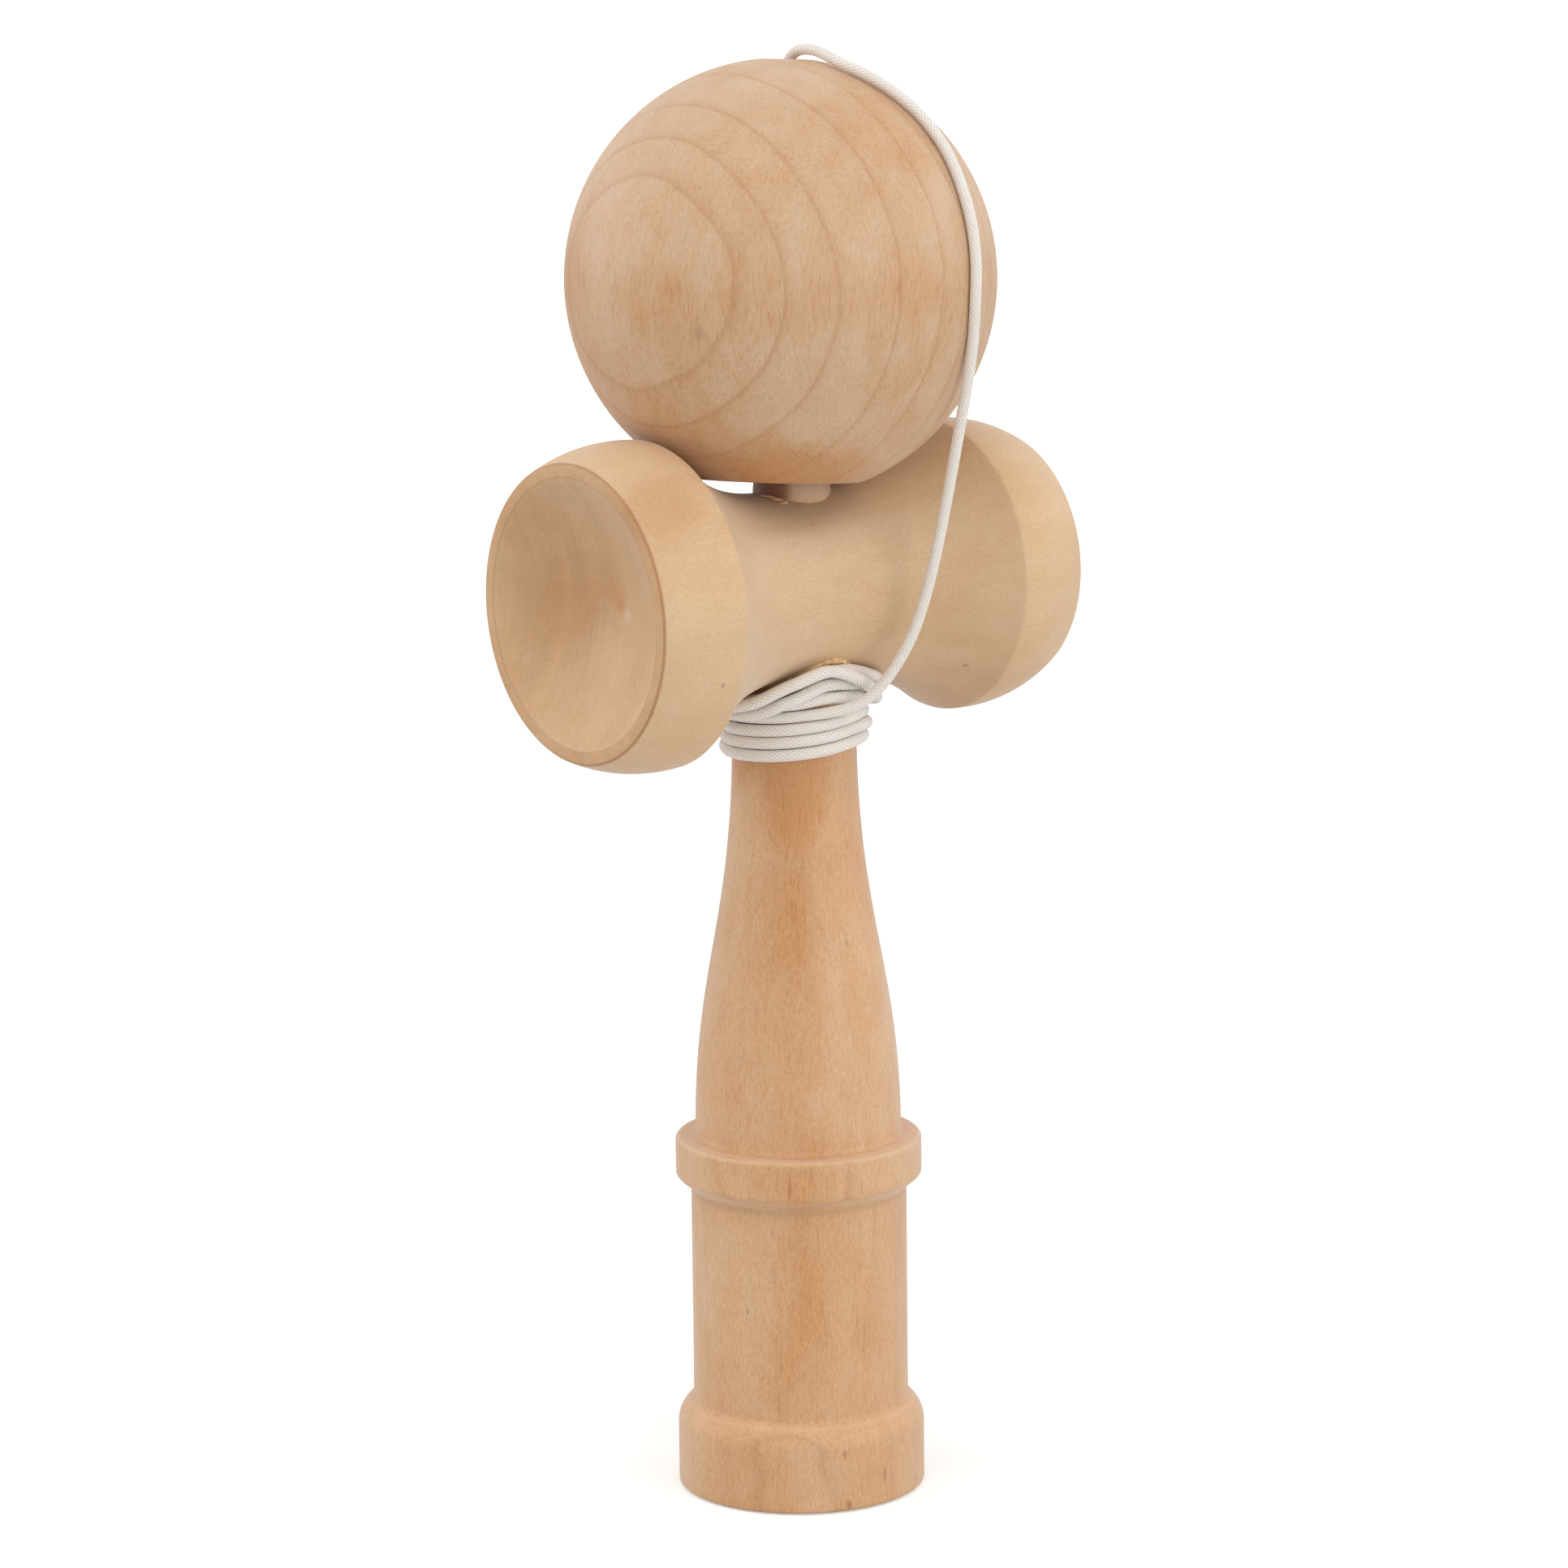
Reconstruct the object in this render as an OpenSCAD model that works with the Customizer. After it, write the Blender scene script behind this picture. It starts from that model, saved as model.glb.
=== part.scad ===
// Cup and ball toy of turned wood: a handle with a spike, a cross piece with two cups,
// a bored ball on the spike, and one cord tied to both and wound round the neck.
// Millimetres, +Z up, origin under the middle of the foot, cross piece along X.

/* [Handle] */
// Radius of the foot at the top of its side
base_r = 17.5; // [16.5:0.1:18.5]
// Height of the straight side of the foot
base_side = 8.7; // [7:0.1:11]
// Radius of the rounded shoulder above the foot
shoulder_r = 4.5; // [4:0.1:6]
// Depth of the hollow under the foot
base_depth = 5.5; // [4:0.1:7]
// Width of the flat rim round that hollow
base_rim = 1.5; // [1:0.1:2.5]
// Radius of the plain grip
grip_r = 15.25; // [14.5:0.05:16]
// Height at which the ring begins
ring_z = 43.2; // [38:0.1:48]
// Height of the ring with its curved underside
ring_h = 7.6; // [6.5:0.1:9]
// Height of the ring's straight side
ring_side = 5.1; // [3.5:0.1:5.6]
// Radius of the ring
ring_r = 17.4; // [16.5:0.1:18.5]
// Radius of the body just above the ring
body_r = 14.55; // [13.5:0.05:15.5]
// Length of the curved body
body_l = 59.2; // [54:0.1:66]
// Radius of the neck
neck_r = 8.7; // [8.2:0.05:9.4]
// Height of the cross piece above the end of the curved body
neck_l = 19.5; // [18.5:0.1:22]
// Radius of the tang through the cross piece and of the foot of the spike
tang_r = 5.4; // [5:0.05:5.9]
// Length of the spike above the saddle
spike_l = 26.5; // [23:0.1:28]
// Radius of the rounded tip
tip_r = 2.5; // [1.8:0.05:3]

/* [Cross piece] */
// Length over both rims
cross_l = 75.4; // [72:0.1:80]
// Radius of the waist at its thinnest
waist_r = 13.25; // [12.8:0.05:14]
// Place of the thinnest waist along the cross piece
waist_x = -3.3; // [-5:0.1:0]
// Distance of both creases from the handle's axis
crease_x = 25.15; // [24:0.05:27]
// Radius of the ball-shaped band of the big cup
big_r = 22.8; // [22:0.05:24]
// Distance of the middle of that band from the handle's axis
big_x = 27.85; // [26.5:0.05:29]
// Width of the flat rim of the big cup
big_land = 1.9; // [1.4:0.1:2.6]
// Depth of the big cup
big_depth = 8.2; // [6:0.1:9.5]
// Radius of the ball-shaped band of the small cup
small_r = 20.65; // [20:0.05:21.5]
// Distance of the middle of that band from the handle's axis
small_x = 26.95; // [26:0.05:28.5]
// Width of the flat rim of the small cup
small_land = 1.9; // [1.4:0.1:2.6]
// Depth of the small cup
small_depth = 6.6; // [5:0.1:8]

/* [Ball] */
// Radius of the ball across its axis
ball_r = 29.8; // [29:0.1:31]
// Half length of the ball along its axis
ball_half = 30.2; // [29.5:0.1:31.5]
// Radius of the bore that takes the spike
bore_r = 10.5; // [10:0.1:11.5]
// Radius of the mouth of the bore
mouth_r = 12; // [11.6:0.1:13]
// Place of the ball's middle along the cross piece
ball_x = -1.5; // [-2.6:0.1:-0.6]
// Lean of the ball on the spike in degrees
ball_lean = 6.3; // [4:0.1:7]
// Gap between the ball and the saddle
seat_gap = 0.35; // [0.15:0.05:0.6]
// Radius of the cord hole at the top
hole_r = 1.3; // [1.1:0.05:1.6]
// Radius of the bead inside the ball
bead_r = 4; // [3.5:0.1:4.5]

/* [Cord] */
// Thickness of the cord
cord_d = 1.3; // [1.1:0.05:1.3]
// Gap between the neck and the cord wound on it
wind_gap = 0.3; // [0.25:0.05:0.5]

/* [Hidden] */
$fn = 96;
fit = 0.05;
cord_r = cord_d / 2;
wood = "#d9b384";
pale_wood = "#e0bd90";
cotton = "#f0ece2";

// Heights that follow from the sizes above
ring_top = ring_z + ring_h;
neck_end = ring_top + body_l;
cross_z = neck_end + neck_l;
neck_top = cross_z - sqrt(waist_r * waist_r - neck_r * neck_r) + 0.8;
spike_z = cross_z + waist_r + 0.2;
tip_z = spike_z + spike_l;

// Plane curves
function arc(cx, cy, r, a0, a1, n) =
  [for (i = [0:n]) let (a = a0 + (a1 - a0) * i / n) [cx + r * cos(a), cy + r * sin(a)]];
function cap_r(mouth, depth) = (mouth * mouth + depth * depth) / (2 * depth);
function cap_angle(mouth, depth) = asin(mouth / cap_r(mouth, depth));
function ease(t) = let (c = min(max(t, 0), 1)) c * c * (3 - 2 * c);

// Outline of the handle from the hollow foot to the tip of the spike
base_mouth = base_r - 0.7 - base_rim;
base_cap = cap_r(base_mouth, base_depth);
shoulder_end = acos((grip_r - base_r + shoulder_r) / shoulder_r);
ogee_h = ring_h - ring_side;
spike_lean = asin((tang_r - tip_r) / (tip_z - tip_r - spike_z));
hollow_line = arc(0, base_depth - base_cap, base_cap, 90, 90 - cap_angle(base_mouth, base_depth), 10);
foot_line = arc(base_r - 0.7, 0.6, 0.6, -90, 0, 4);
shoulder_line = arc(base_r - shoulder_r, base_side, shoulder_r, 0, shoulder_end, 6);
ogee_line = [for (i = [0:8]) [grip_r + (ring_r - grip_r) * (1 - cos(180 * i / 8)) / 2,
  ring_z + ogee_h * i / 8]];
ring_line = arc(ring_r - 0.4, ring_top - 0.4, 0.4, 0, 90, 3);
body_line = [for (i = [0:20]) let (t = i / 20, s = 1 - t)
  [body_r * (s * s * s + 3 * s * s * t) + neck_r * (3 * s * t * t + t * t * t),
   ring_top + body_l * (3 * s * s * t * 0.425 + 3 * s * t * t * 0.51 + t * t * t)]];
neck_line = [[neck_r, neck_top - 0.3], [neck_r - 0.3, neck_top], [tang_r, neck_top], [tang_r, spike_z]];
tip_line = arc(0, tip_z - tip_r, tip_r, spike_lean, 90, 7);
handle_line = concat(hollow_line, foot_line, shoulder_line, ogee_line, ring_line, body_line,
  neck_line, tip_line);

// Outline of the cross piece along its own axis
big_crease = sqrt(big_r * big_r - pow(big_x - crease_x, 2));
small_crease = sqrt(small_r * small_r - pow(small_x - crease_x, 2));
big_rim = sqrt(big_r * big_r - pow(cross_l / 2 - big_x, 2));
small_rim = sqrt(small_r * small_r - pow(cross_l / 2 - small_x, 2));
big_mouth = big_rim - big_land;
small_mouth = small_rim - small_land;
big_cap = cap_r(big_mouth, big_depth);
small_cap = cap_r(small_mouth, small_depth);
big_swell = 2.35;
small_swell = 2.8;
function cross_r(x) =
  x < -crease_x ? sqrt(max(big_r * big_r - pow(x + big_x, 2), 0))
  : x > crease_x ? sqrt(max(small_r * small_r - pow(x - small_x, 2), 0))
  : x < waist_x ? waist_r + (big_crease - waist_r) * pow((waist_x - x) / (waist_x + crease_x), big_swell)
  : waist_r + (small_crease - waist_r) * pow((x - waist_x) / (crease_x - waist_x), small_swell);
big_angle = cap_angle(big_mouth, big_depth);
small_angle = cap_angle(small_mouth, small_depth);
cross_line = concat(
  [for (i = [0:8]) let (x = -cross_l / 2 + (cross_l / 2 - crease_x) * i / 8) [cross_r(x), x]],
  [for (i = [1:12]) let (x = -crease_x + (waist_x + crease_x) * i / 12) [cross_r(x), x]],
  [for (i = [1:13]) let (x = waist_x + (crease_x - waist_x) * i / 13) [cross_r(x), x]],
  [for (i = [1:8]) let (x = crease_x + (cross_l / 2 - crease_x) * i / 8) [cross_r(x), x]],
  arc(0, cross_l / 2 - small_depth + small_cap, small_cap, small_angle - 90, -90, 8),
  arc(0, -cross_l / 2 + big_depth - big_cap, big_cap, 90, 90 - big_angle, 9));

// Outline of the ball along its own axis
cone_half = 59;
cone_tip = ball_half - 18.5;
cone_foot = cone_tip - bore_r / tan(cone_half);
hole_foot = cone_tip - hole_r / tan(cone_half);
ball_top = ball_half - 0.25;
top_angle = asin(ball_top / ball_half);
mouth_angle = -acos((mouth_r + 0.25) / ball_r);
mouth_w = ball_half * sin(mouth_angle);
sink_r = 3;
sink_depth = 2.5;
ball_line = concat(
  [[bore_r, cone_foot], [bore_r, mouth_w + 1.5], [mouth_r - 0.35, mouth_w + 0.05],
   [mouth_r - 0.05, mouth_w - 0.08]],
  [for (i = [0:40]) let (a = mouth_angle + (top_angle - mouth_angle) * i / 40)
    [ball_r * cos(a), ball_half * sin(a)]],
  [[sink_r, ball_top], [hole_r, ball_top - sink_depth], [hole_r, hole_foot]]);

// The ball rests with its mouth on the flare of the saddle, leaning away from it
lean_side = 34;
ball_axis = [sin(ball_lean) * cos(lean_side), sin(ball_lean) * sin(lean_side), cos(ball_lean)];
across_a = unit(cross(ball_axis, [0, 0, 1]));
across_b = cross(ball_axis, across_a);
function saddle_z(x, y) = let (r = cross_r(x)) r > abs(y) ? cross_z + sqrt(r * r - y * y) : 0;
function ball_point(a, lat) = ball_r * cos(lat) * (cos(a) * across_a + sin(a) * across_b)
  + ball_half * sin(lat) * ball_axis;
function seat_at(p) = abs(ball_x + p[0]) > cross_l / 2 ? 0 : saddle_z(ball_x + p[0], p[1]) - p[2];
ball_z = max([for (lat = [mouth_angle, -62, -58, -54, -50, -45, -40], a = [0:3:357])
  seat_at(ball_point(a, lat))]) + seat_gap / cos(26);
ball_at = [ball_x, 0, ball_z];
function on_axis(w) = ball_at + w * ball_axis;

// Bead, knots and the ends of the cord
bead_w = cone_tip - (bead_r + 0.3) / sin(cone_half);
bead_flat = bead_r - 0.2;
knot_r = 1.9;
knot_l = 3.4;
knot_top = bead_w - bead_flat - fit;
tail_top = ball_top - 3.5;
pocket_r = knot_r + 0.4;
inner_knot_y = tang_r - 0.4;
string_r = cord_r + 0.3;

// Sweep of a round cord along a row of points
function unit(v) = v / norm(v);
function tangents(p) = let (n = len(p) - 1)
  [for (i = [0:n]) unit(p[min(i + 1, n)] - p[max(i - 1, 0)])];
function square_to(v, t) = unit(v - (v * t) * t);
function normals(t, first) = [for (i = 0, n = square_to(first, t[0]); i < len(t);
  i = i + 1, n = i < len(t) ? square_to(n, t[i]) : n) n];
function spline_point(a, b, c, d, t) = (pow(1 - t, 3) * a + (3 * pow(t, 3) - 6 * t * t + 4) * b
  + (-3 * pow(t, 3) + 3 * t * t + 3 * t + 1) * c + pow(t, 3) * d) / 6;
function smooth_line(p, n) = let (m = len(p) - 1,
  q = concat([2 * p[0] - p[1]], p, [2 * p[m] - p[m - 1]]))
  concat([for (i = [0:m - 1], k = [0:n - 1])
    spline_point(q[i], q[i + 1], q[i + 2], q[i + 3], k / n)], [p[m]]);

module tube(p, r, sides, first) {
  t = tangents(p);
  n = normals(t, first);
  last = len(p) - 1;
  rings = [for (i = [0:last], k = [0:sides - 1]) let (a = 360 * k / sides)
    p[i] + r * (cos(a) * n[i] + sin(a) * cross(t[i], n[i]))];
  skin = [for (i = [0:last - 1], k = [0:sides - 1]) let (next = (k + 1) % sides)
    [i * sides + k, (i + 1) * sides + k, (i + 1) * sides + next, i * sides + next]];
  start_cap = [[for (k = [0:sides - 1]) k]];
  end_cap = [[for (k = [sides - 1:-1:0]) last * sides + k]];
  polyhedron(concat(rings), concat(skin, start_cap, end_cap), convexity = 8);
}

// Winding: eight turns, against the clock seen from above. Every turn has nine places round the neck,
// each with its distance out from the first layer and its drop below the cross piece. A cubic joins them.
layer_a = neck_r + wind_gap + cord_r;
stations = [165, 205, 230, 258, 290, 322, 360, 420, 470];
turns = [
  // Three loops that climb the front and fan out to the right
  [[1.75, 15], [1.7, 14.5], [1.1, 12.5], [0, 11], [0.15, 11.3], [1.9, 13.3], [1.9, 15.45], [1.85, 14.85],
   [1.85, 15.4]],
  [[1.75, 16.8], [1.8, 16.4], [1.75, 14.45], [0.2, 12.8], [0, 13.25], [0, 14.15], [0, 15.25], [0, 15.3],
   [0, 15.5]],
  [[0, 15.6], [0, 15.4], [0, 15.25], [0, 14.65], [0, 15], [0, 15.95], [0, 17.1], [0, 17.85], [0, 18.7]],
  // Three low loops, the last one going out over the others at the back
  [[0, 19.3], [0, 19.05], [0, 18.75], [0, 18.3], [0, 17.75], [0, 17.8], [0, 18.9], [0, 19.65], [0, 20.5]],
  [[0, 21.05], [0, 20.8], [0, 20.5], [0, 20.05], [0, 19.5], [0.5, 19.5], [0, 20.65], [0, 21.4], [0, 22.25]],
  [[0, 22.8], [0, 22.6], [0, 22.3], [0, 21.85], [0, 21.3], [0, 21.3], [0.1, 22.5], [1.8, 22.1],
   [2.9, 19.3]],
  // Loop that crosses over the first three, and the last half turn under it
  [[3.55, 16.3], [3.5, 14.7], [2.85, 12.1], [1.75, 10.5], [1.85, 12.8], [1.9, 16], [1.85, 17.25],
   [1.8, 16.75], [0.95, 17.2]],
  [[0, 17.5], [0, 17.25], [0, 17], [0, 16.55]]];
wind_rows = concat([[90, 1.9, 9.1], [125, 1.85, 12.3]],
  [for (n = [0:7], i = [0:len(turns[n]) - 1]) [360 * n + stations[i], turns[n][i][0], turns[n][i][1]]]);
wind_last = len(wind_rows) - 1;
function wind_slope(i, k) = let (a = wind_rows[max(i - 1, 0)], b = wind_rows[min(i + 1, wind_last)])
  (b[k] - a[k]) / (b[0] - a[0]);
function wind_row(a) = min(len([for (q = wind_rows) if (q[0] <= a) 1]) - 1, wind_last - 1);
function wind_value(a, k) = let (i = wind_row(a), p = wind_rows[i], q = wind_rows[i + 1],
  h = q[0] - p[0], t = (a - p[0]) / h)
  ease(1 - t) * p[k] + ease(t) * q[k]
  + h * t * (1 - t) * ((1 - t) * wind_slope(i, k) - t * wind_slope(i + 1, k));
function wind_point(a) = let (r = layer_a + wind_value(a, 1))
  [r * cos(a), r * sin(a), cross_z - wind_value(a, 2)];
wind_start = 90;
wind_end = 360 * 7 + 240;
wind_rings = 24;
wind_line = [for (i = [0:(wind_end - wind_start) * wind_rings / 360])
  wind_point(wind_start + i * 360 / wind_rings)];

// The cord comes out of the hole at the back of the cross piece and drops to the winding
waist_back = cross_r(0);
lead_points = [[0, inner_knot_y, cross_z], [0, inner_knot_y + 2, cross_z], [0, waist_back - 3, cross_z],
  [0, waist_back - 0.5, cross_z], [0.4, waist_back + 1.8, cross_z - 0.3],
  [1.9, waist_back + 3.3, cross_z - 1.6],
  [3.6, waist_back + 3.4, cross_z - 3.6], [5, waist_back + 2.6, cross_z - 5.5],
  [5.2, waist_back + 1.2, cross_z - 7], [4.3, waist_back - 0.1, wind_line[0][2] + 0.7],
  wind_line[0] + [2.5, 0.45, 0.3], wind_line[0]];
lead_line = smooth_line(lead_points, 2);
winding_line = concat([for (i = [0:len(lead_line) - 2]) lead_line[i]], wind_line);

// Free run from the neck up the front of the ball and over to the hole at its top.
// Rows give the share of the climb and the sideways bulge; the ball is then followed by
// compass angle and by angle from the top.
exit_at = wind_line[len(wind_line) - 1];
exit_dir = unit(exit_at - wind_line[len(wind_line) - 2]);
ball_gap = cord_r + 0.45;
function over_ball(side, down) =
  ball_at + (ball_r + 0.5 * pow(cos(down), 2) + ball_gap)
  * [sin(down) * cos(side), sin(down) * sin(side), cos(down)];
touch_at = over_ball(-69, 92);
bulge = [[0.008, 3.4, -2.2], [0.018, 5.4, -3.4], [0.035, 6.9, -4.2], [0.07, 8.1, -4.8], [0.13, 9, -5.2],
  [0.2, 9.3, -5.4], [0.28, 9, -5.1], [0.37, 8.3, -4.6], [0.47, 7.4, -3.8], [0.58, 6.3, -2.9],
  [0.69, 5, -2.1], [0.8, 3.5, -1.6], [0.9, 1.9, -1]];
climb = [for (b = bulge) exit_at + b[0] * (touch_at - exit_at) + [b[1], b[2], 0]];
over_angles = [[-69, 92], [-68, 85], [-67, 78], [-66, 71.5], [-65, 65], [-63.5, 59], [-62, 53], [-61, 47],
  [-60, 41], [-60, 35], [-60.5, 29], [-61.5, 23], [-63, 17.5]];
over = [for (a = over_angles) over_ball(a[0], a[1])];
top_side = square_to([0.1, -1, 0], ball_axis);
top_rows = [[6.6, 1.1], [4.8, 1.4], [3.1, 1.45], [1.6, 1], [0.6, 0], [0.1, -1.2]];
top_bend = [for (row = top_rows) on_axis(ball_top + row[1]) + row[0] * top_side];
run_points = concat([exit_at, exit_at + cord_d * exit_dir], climb, over, top_bend,
  [on_axis(tail_top + cord_d), on_axis(tail_top)]);
run_line = smooth_line(run_points, 2);

// Least distance between strands, and the length of a line
function near_piece(q, a, b) = let (d = b - a, t = min(max((q - a) * d / (d * d), 0), 1))
  norm(q - a - t * d);
function self_gap(p, skip) = min([for (i = [0:len(p) - 2], j = [i + skip:1:len(p) - 2])
  near_piece(p[i], p[j], p[j + 1])]) - cord_d;
function line_l(p) = [for (i = 0, s = 0; i < len(p);
  s = s + (i + 1 < len(p) ? norm(p[i + 1] - p[i]) : 0), i = i + 1) s][len(p) - 1];
function ball_near(q) = let (d = q - ball_at, w = d * ball_axis, r = norm(d - w * ball_axis))
  min([for (a = [-90:1:90]) norm([r - ball_r * cos(a), w - ball_half * sin(a)])]) - cord_r;
function cross_near(q) = norm([q[1], q[2] - cross_z]) - cross_r(q[0]) - cord_r;
echo(cross_z = cross_z, neck_top = neck_top, tip_z = tip_z, ball_at = ball_at, ball_axis = ball_axis);
echo(big_rim = big_rim, small_rim = small_rim, big_mouth = big_mouth, small_mouth = small_mouth);
echo(winding_gap = self_gap(winding_line, 12), winding_cross = min([for (q = wind_line) cross_near(q)]));
echo(run_ball = min([for (i = [0:len(run_line) - 14]) ball_near(run_line[i])]),
  run_cross = min([for (q = run_line) cross_near(q)]));
echo(lead = line_l(lead_line), winding = line_l(wind_line), run = line_l(run_line),
  tail = tail_top - knot_top, rings = [len(winding_line), len(run_line)]);
echo(exit_at = exit_at, touch_at = touch_at, hole_at = on_axis(ball_top),
  tail_at = on_axis(tail_top), bead_at = on_axis(bead_w));

module handle() {
  color(wood) difference() {
    rotate_extrude() polygon(handle_line);
    translate([0, 1.2, cross_z]) rotate([-90, 0, 0]) cylinder(r = pocket_r, h = tang_r);
  }
}

module cross_cup() {
  color(wood) difference() {
    translate([0, 0, cross_z]) rotate([0, 90, 0]) rotate_extrude() polygon(cross_line);
    translate([0, 0, cross_z - waist_r - 12])
      cylinder(r = neck_r + fit, h = neck_top + fit - cross_z + waist_r + 12);
    translate([0, 0, neck_top - 2]) cylinder(r = tang_r + fit, h = waist_r * 2);
    translate([0, 2, cross_z]) rotate([-90, 0, 0]) cylinder(r = string_r, h = waist_r * 2);
  }
}

module ball() {
  color(pale_wood) translate(ball_at) rotate([0, ball_lean, lean_side]) rotate_extrude() polygon(ball_line);
}

module bead() {
  color(wood) translate(on_axis(bead_w)) rotate([0, ball_lean, lean_side]) rotate_extrude()
    polygon(concat([[string_r, -bead_flat]],
      arc(0, 0, bead_r, -asin(bead_flat / bead_r), asin(bead_flat / bead_r), 14),
      [[string_r, bead_flat]]));
}

module knot() {
  rotate_extrude() polygon([[0, 0], [0.9, 0], [1.6, 0.5], [knot_r, 1.2], [knot_r, knot_l - 1.2],
    [1.6, knot_l - 0.5], [0.9, knot_l], [0, knot_l]]);
}

module bead_knot() {
  color(cotton) translate(on_axis(knot_top - knot_l)) rotate([0, ball_lean, lean_side]) knot();
}

module cord_tail() {
  color(cotton) translate(on_axis(knot_top)) rotate([0, ball_lean, lean_side])
    cylinder(r = cord_r, h = tail_top - knot_top, $fn = 24);
}

module handle_knot() {
  color(cotton) translate([0, inner_knot_y - knot_l, cross_z]) rotate([-90, 0, 0]) knot();
}

module cord_winding() {
  color(cotton) tube(winding_line, cord_r, 6, [1, 0, 0]);
}

module cord_run() {
  color(cotton) tube(run_line, cord_r, 8, [0, 0, 1]);
}

handle();
cross_cup();
ball();
bead();
bead_knot();
cord_winding();
cord_run();
cord_tail();
handle_knot();
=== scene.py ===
import math
import bpy
import numpy as np
from mathutils import Matrix, Vector


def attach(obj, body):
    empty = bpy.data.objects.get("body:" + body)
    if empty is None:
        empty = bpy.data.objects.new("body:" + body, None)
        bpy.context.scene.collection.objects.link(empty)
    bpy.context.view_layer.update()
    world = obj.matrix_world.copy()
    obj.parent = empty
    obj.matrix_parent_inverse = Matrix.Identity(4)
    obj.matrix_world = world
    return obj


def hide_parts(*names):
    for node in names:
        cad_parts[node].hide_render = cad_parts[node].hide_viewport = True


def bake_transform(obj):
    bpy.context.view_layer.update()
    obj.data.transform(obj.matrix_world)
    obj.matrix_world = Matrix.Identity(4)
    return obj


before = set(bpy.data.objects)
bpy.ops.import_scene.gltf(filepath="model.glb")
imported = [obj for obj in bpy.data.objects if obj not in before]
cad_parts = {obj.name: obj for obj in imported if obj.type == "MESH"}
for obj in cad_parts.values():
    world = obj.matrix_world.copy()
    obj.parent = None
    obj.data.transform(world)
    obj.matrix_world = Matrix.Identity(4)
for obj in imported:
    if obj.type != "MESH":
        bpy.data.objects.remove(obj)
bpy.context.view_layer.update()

scene = bpy.context.scene
scene.view_settings.view_transform = "Standard"
mm = 0.001

# shared heights and places of the turned pieces, in millimetres
crossHeight = 129.5
ballCentre = np.array([-1.5, 0.0, 172.278])
ballRadius = 29.8
ballHalf = 30.2
ballTop = ballHalf - 0.25
ballAxis = np.array([0.0909739, 0.0613626, 0.993961])
ballAxis = ballAxis / np.linalg.norm(ballAxis)


def onBallAxis(up):
    # the place so far above the ball's centre on its axis
    return ballCentre + up * ballAxis


# camera at the photograph's viewing angle: a long lens a little above the toy
cameraPlace = {
    "at": (-528.7, -680.2, 276.7),   # mm
    "turn": 0.659,                   # radians from +Y towards +X
    "tilt": -0.201,                  # radians above the horizon
    "roll": -0.011,
    "lens": 144.3,                   # mm
    "sensor": 36.0,                  # mm
    "clip": (0.05, 60.0),            # m
}


def placeCamera(place):
    # forward from turn and tilt, right level with the ground, both then rolled about forward
    turn, tilt, roll = place["turn"], place["tilt"], place["roll"]
    forward = Vector((math.sin(turn) * math.cos(tilt), math.cos(turn) * math.cos(tilt), math.sin(tilt)))
    level = Vector((math.cos(turn), -math.sin(turn), 0.0))
    above = level.cross(forward)
    right = level * math.cos(roll) + above * math.sin(roll)
    up = above * math.cos(roll) - level * math.sin(roll)
    data = bpy.data.cameras.new("photoCamera")
    data.lens = place["lens"]
    data.sensor_width = place["sensor"]
    data.clip_start, data.clip_end = place["clip"]
    camera = bpy.data.objects.new("photoCamera", data)
    rows = Matrix((right, up, -forward)).transposed().to_4x4()
    rows.translation = Vector(place["at"]) * mm
    camera.matrix_world = rows
    scene.collection.objects.link(camera)
    scene.camera = camera


placeCamera(cameraPlace)
print("camera placed")


# mesh helpers
def facesToObject(name, points, quads, triangles, uvs=None):
    # whole arrays of corners go in with foreach_set, quads first and then triangles
    mesh = bpy.data.meshes.new(name)
    loops = np.concatenate([quads.ravel(), triangles.ravel()]).astype(np.int32)
    starts = np.concatenate([np.arange(len(quads)) * 4, 4 * len(quads) + np.arange(len(triangles)) * 3])
    mesh.vertices.add(len(points))
    mesh.vertices.foreach_set("co", (points * mm).astype(np.float32).ravel())
    mesh.loops.add(len(loops))
    mesh.loops.foreach_set("vertex_index", loops)
    mesh.polygons.add(len(starts))
    mesh.polygons.foreach_set("loop_start", starts.astype(np.int32))
    mesh.polygons.foreach_set("use_smooth", np.ones(len(starts), dtype=bool))
    if uvs is not None:
        layer = mesh.uv_layers.new(name="alongAndRound")
        layer.data.foreach_set("uv", uvs.astype(np.float32).ravel())
    mesh.update(calc_edges=True)
    mesh.validate()
    piece = bpy.data.objects.new(name, mesh)
    scene.collection.objects.link(piece)
    return piece


def volumeOf(points, quads, triangles):
    # sum of the signed pyramids from the origin to every face
    fans = np.concatenate([quads[:, [0, 1, 2]], quads[:, [0, 2, 3]], triangles])
    a, b, c = points[fans[:, 0]], points[fans[:, 1]], points[fans[:, 2]]
    return float(np.einsum("ij,ij->i", a, np.cross(b, c)).sum() / 6)


def gridFaces(rows, columns, closed):
    # quads between neighbours on a grid whose columns join up; its rows join up too where it is closed, and
    # otherwise each end row is fanned to a tip, with the two tips numbered after the grid
    i = np.arange(rows if closed else rows - 1)[:, None] * columns
    j = np.arange(columns)
    nextI, nextJ = (i + columns) % (rows * columns), (j + 1) % columns
    quads = np.stack([i + j, i + nextJ, nextI + nextJ, nextI + j], -1).reshape(-1, 4)
    last, tip = (rows - 1) * columns, np.full(columns, rows * columns)
    fans = np.concatenate([np.stack([tip, nextJ, j], -1), np.stack([tip + 1, last + j, last + nextJ], -1)])
    return quads, fans[:0] if closed else fans


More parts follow.
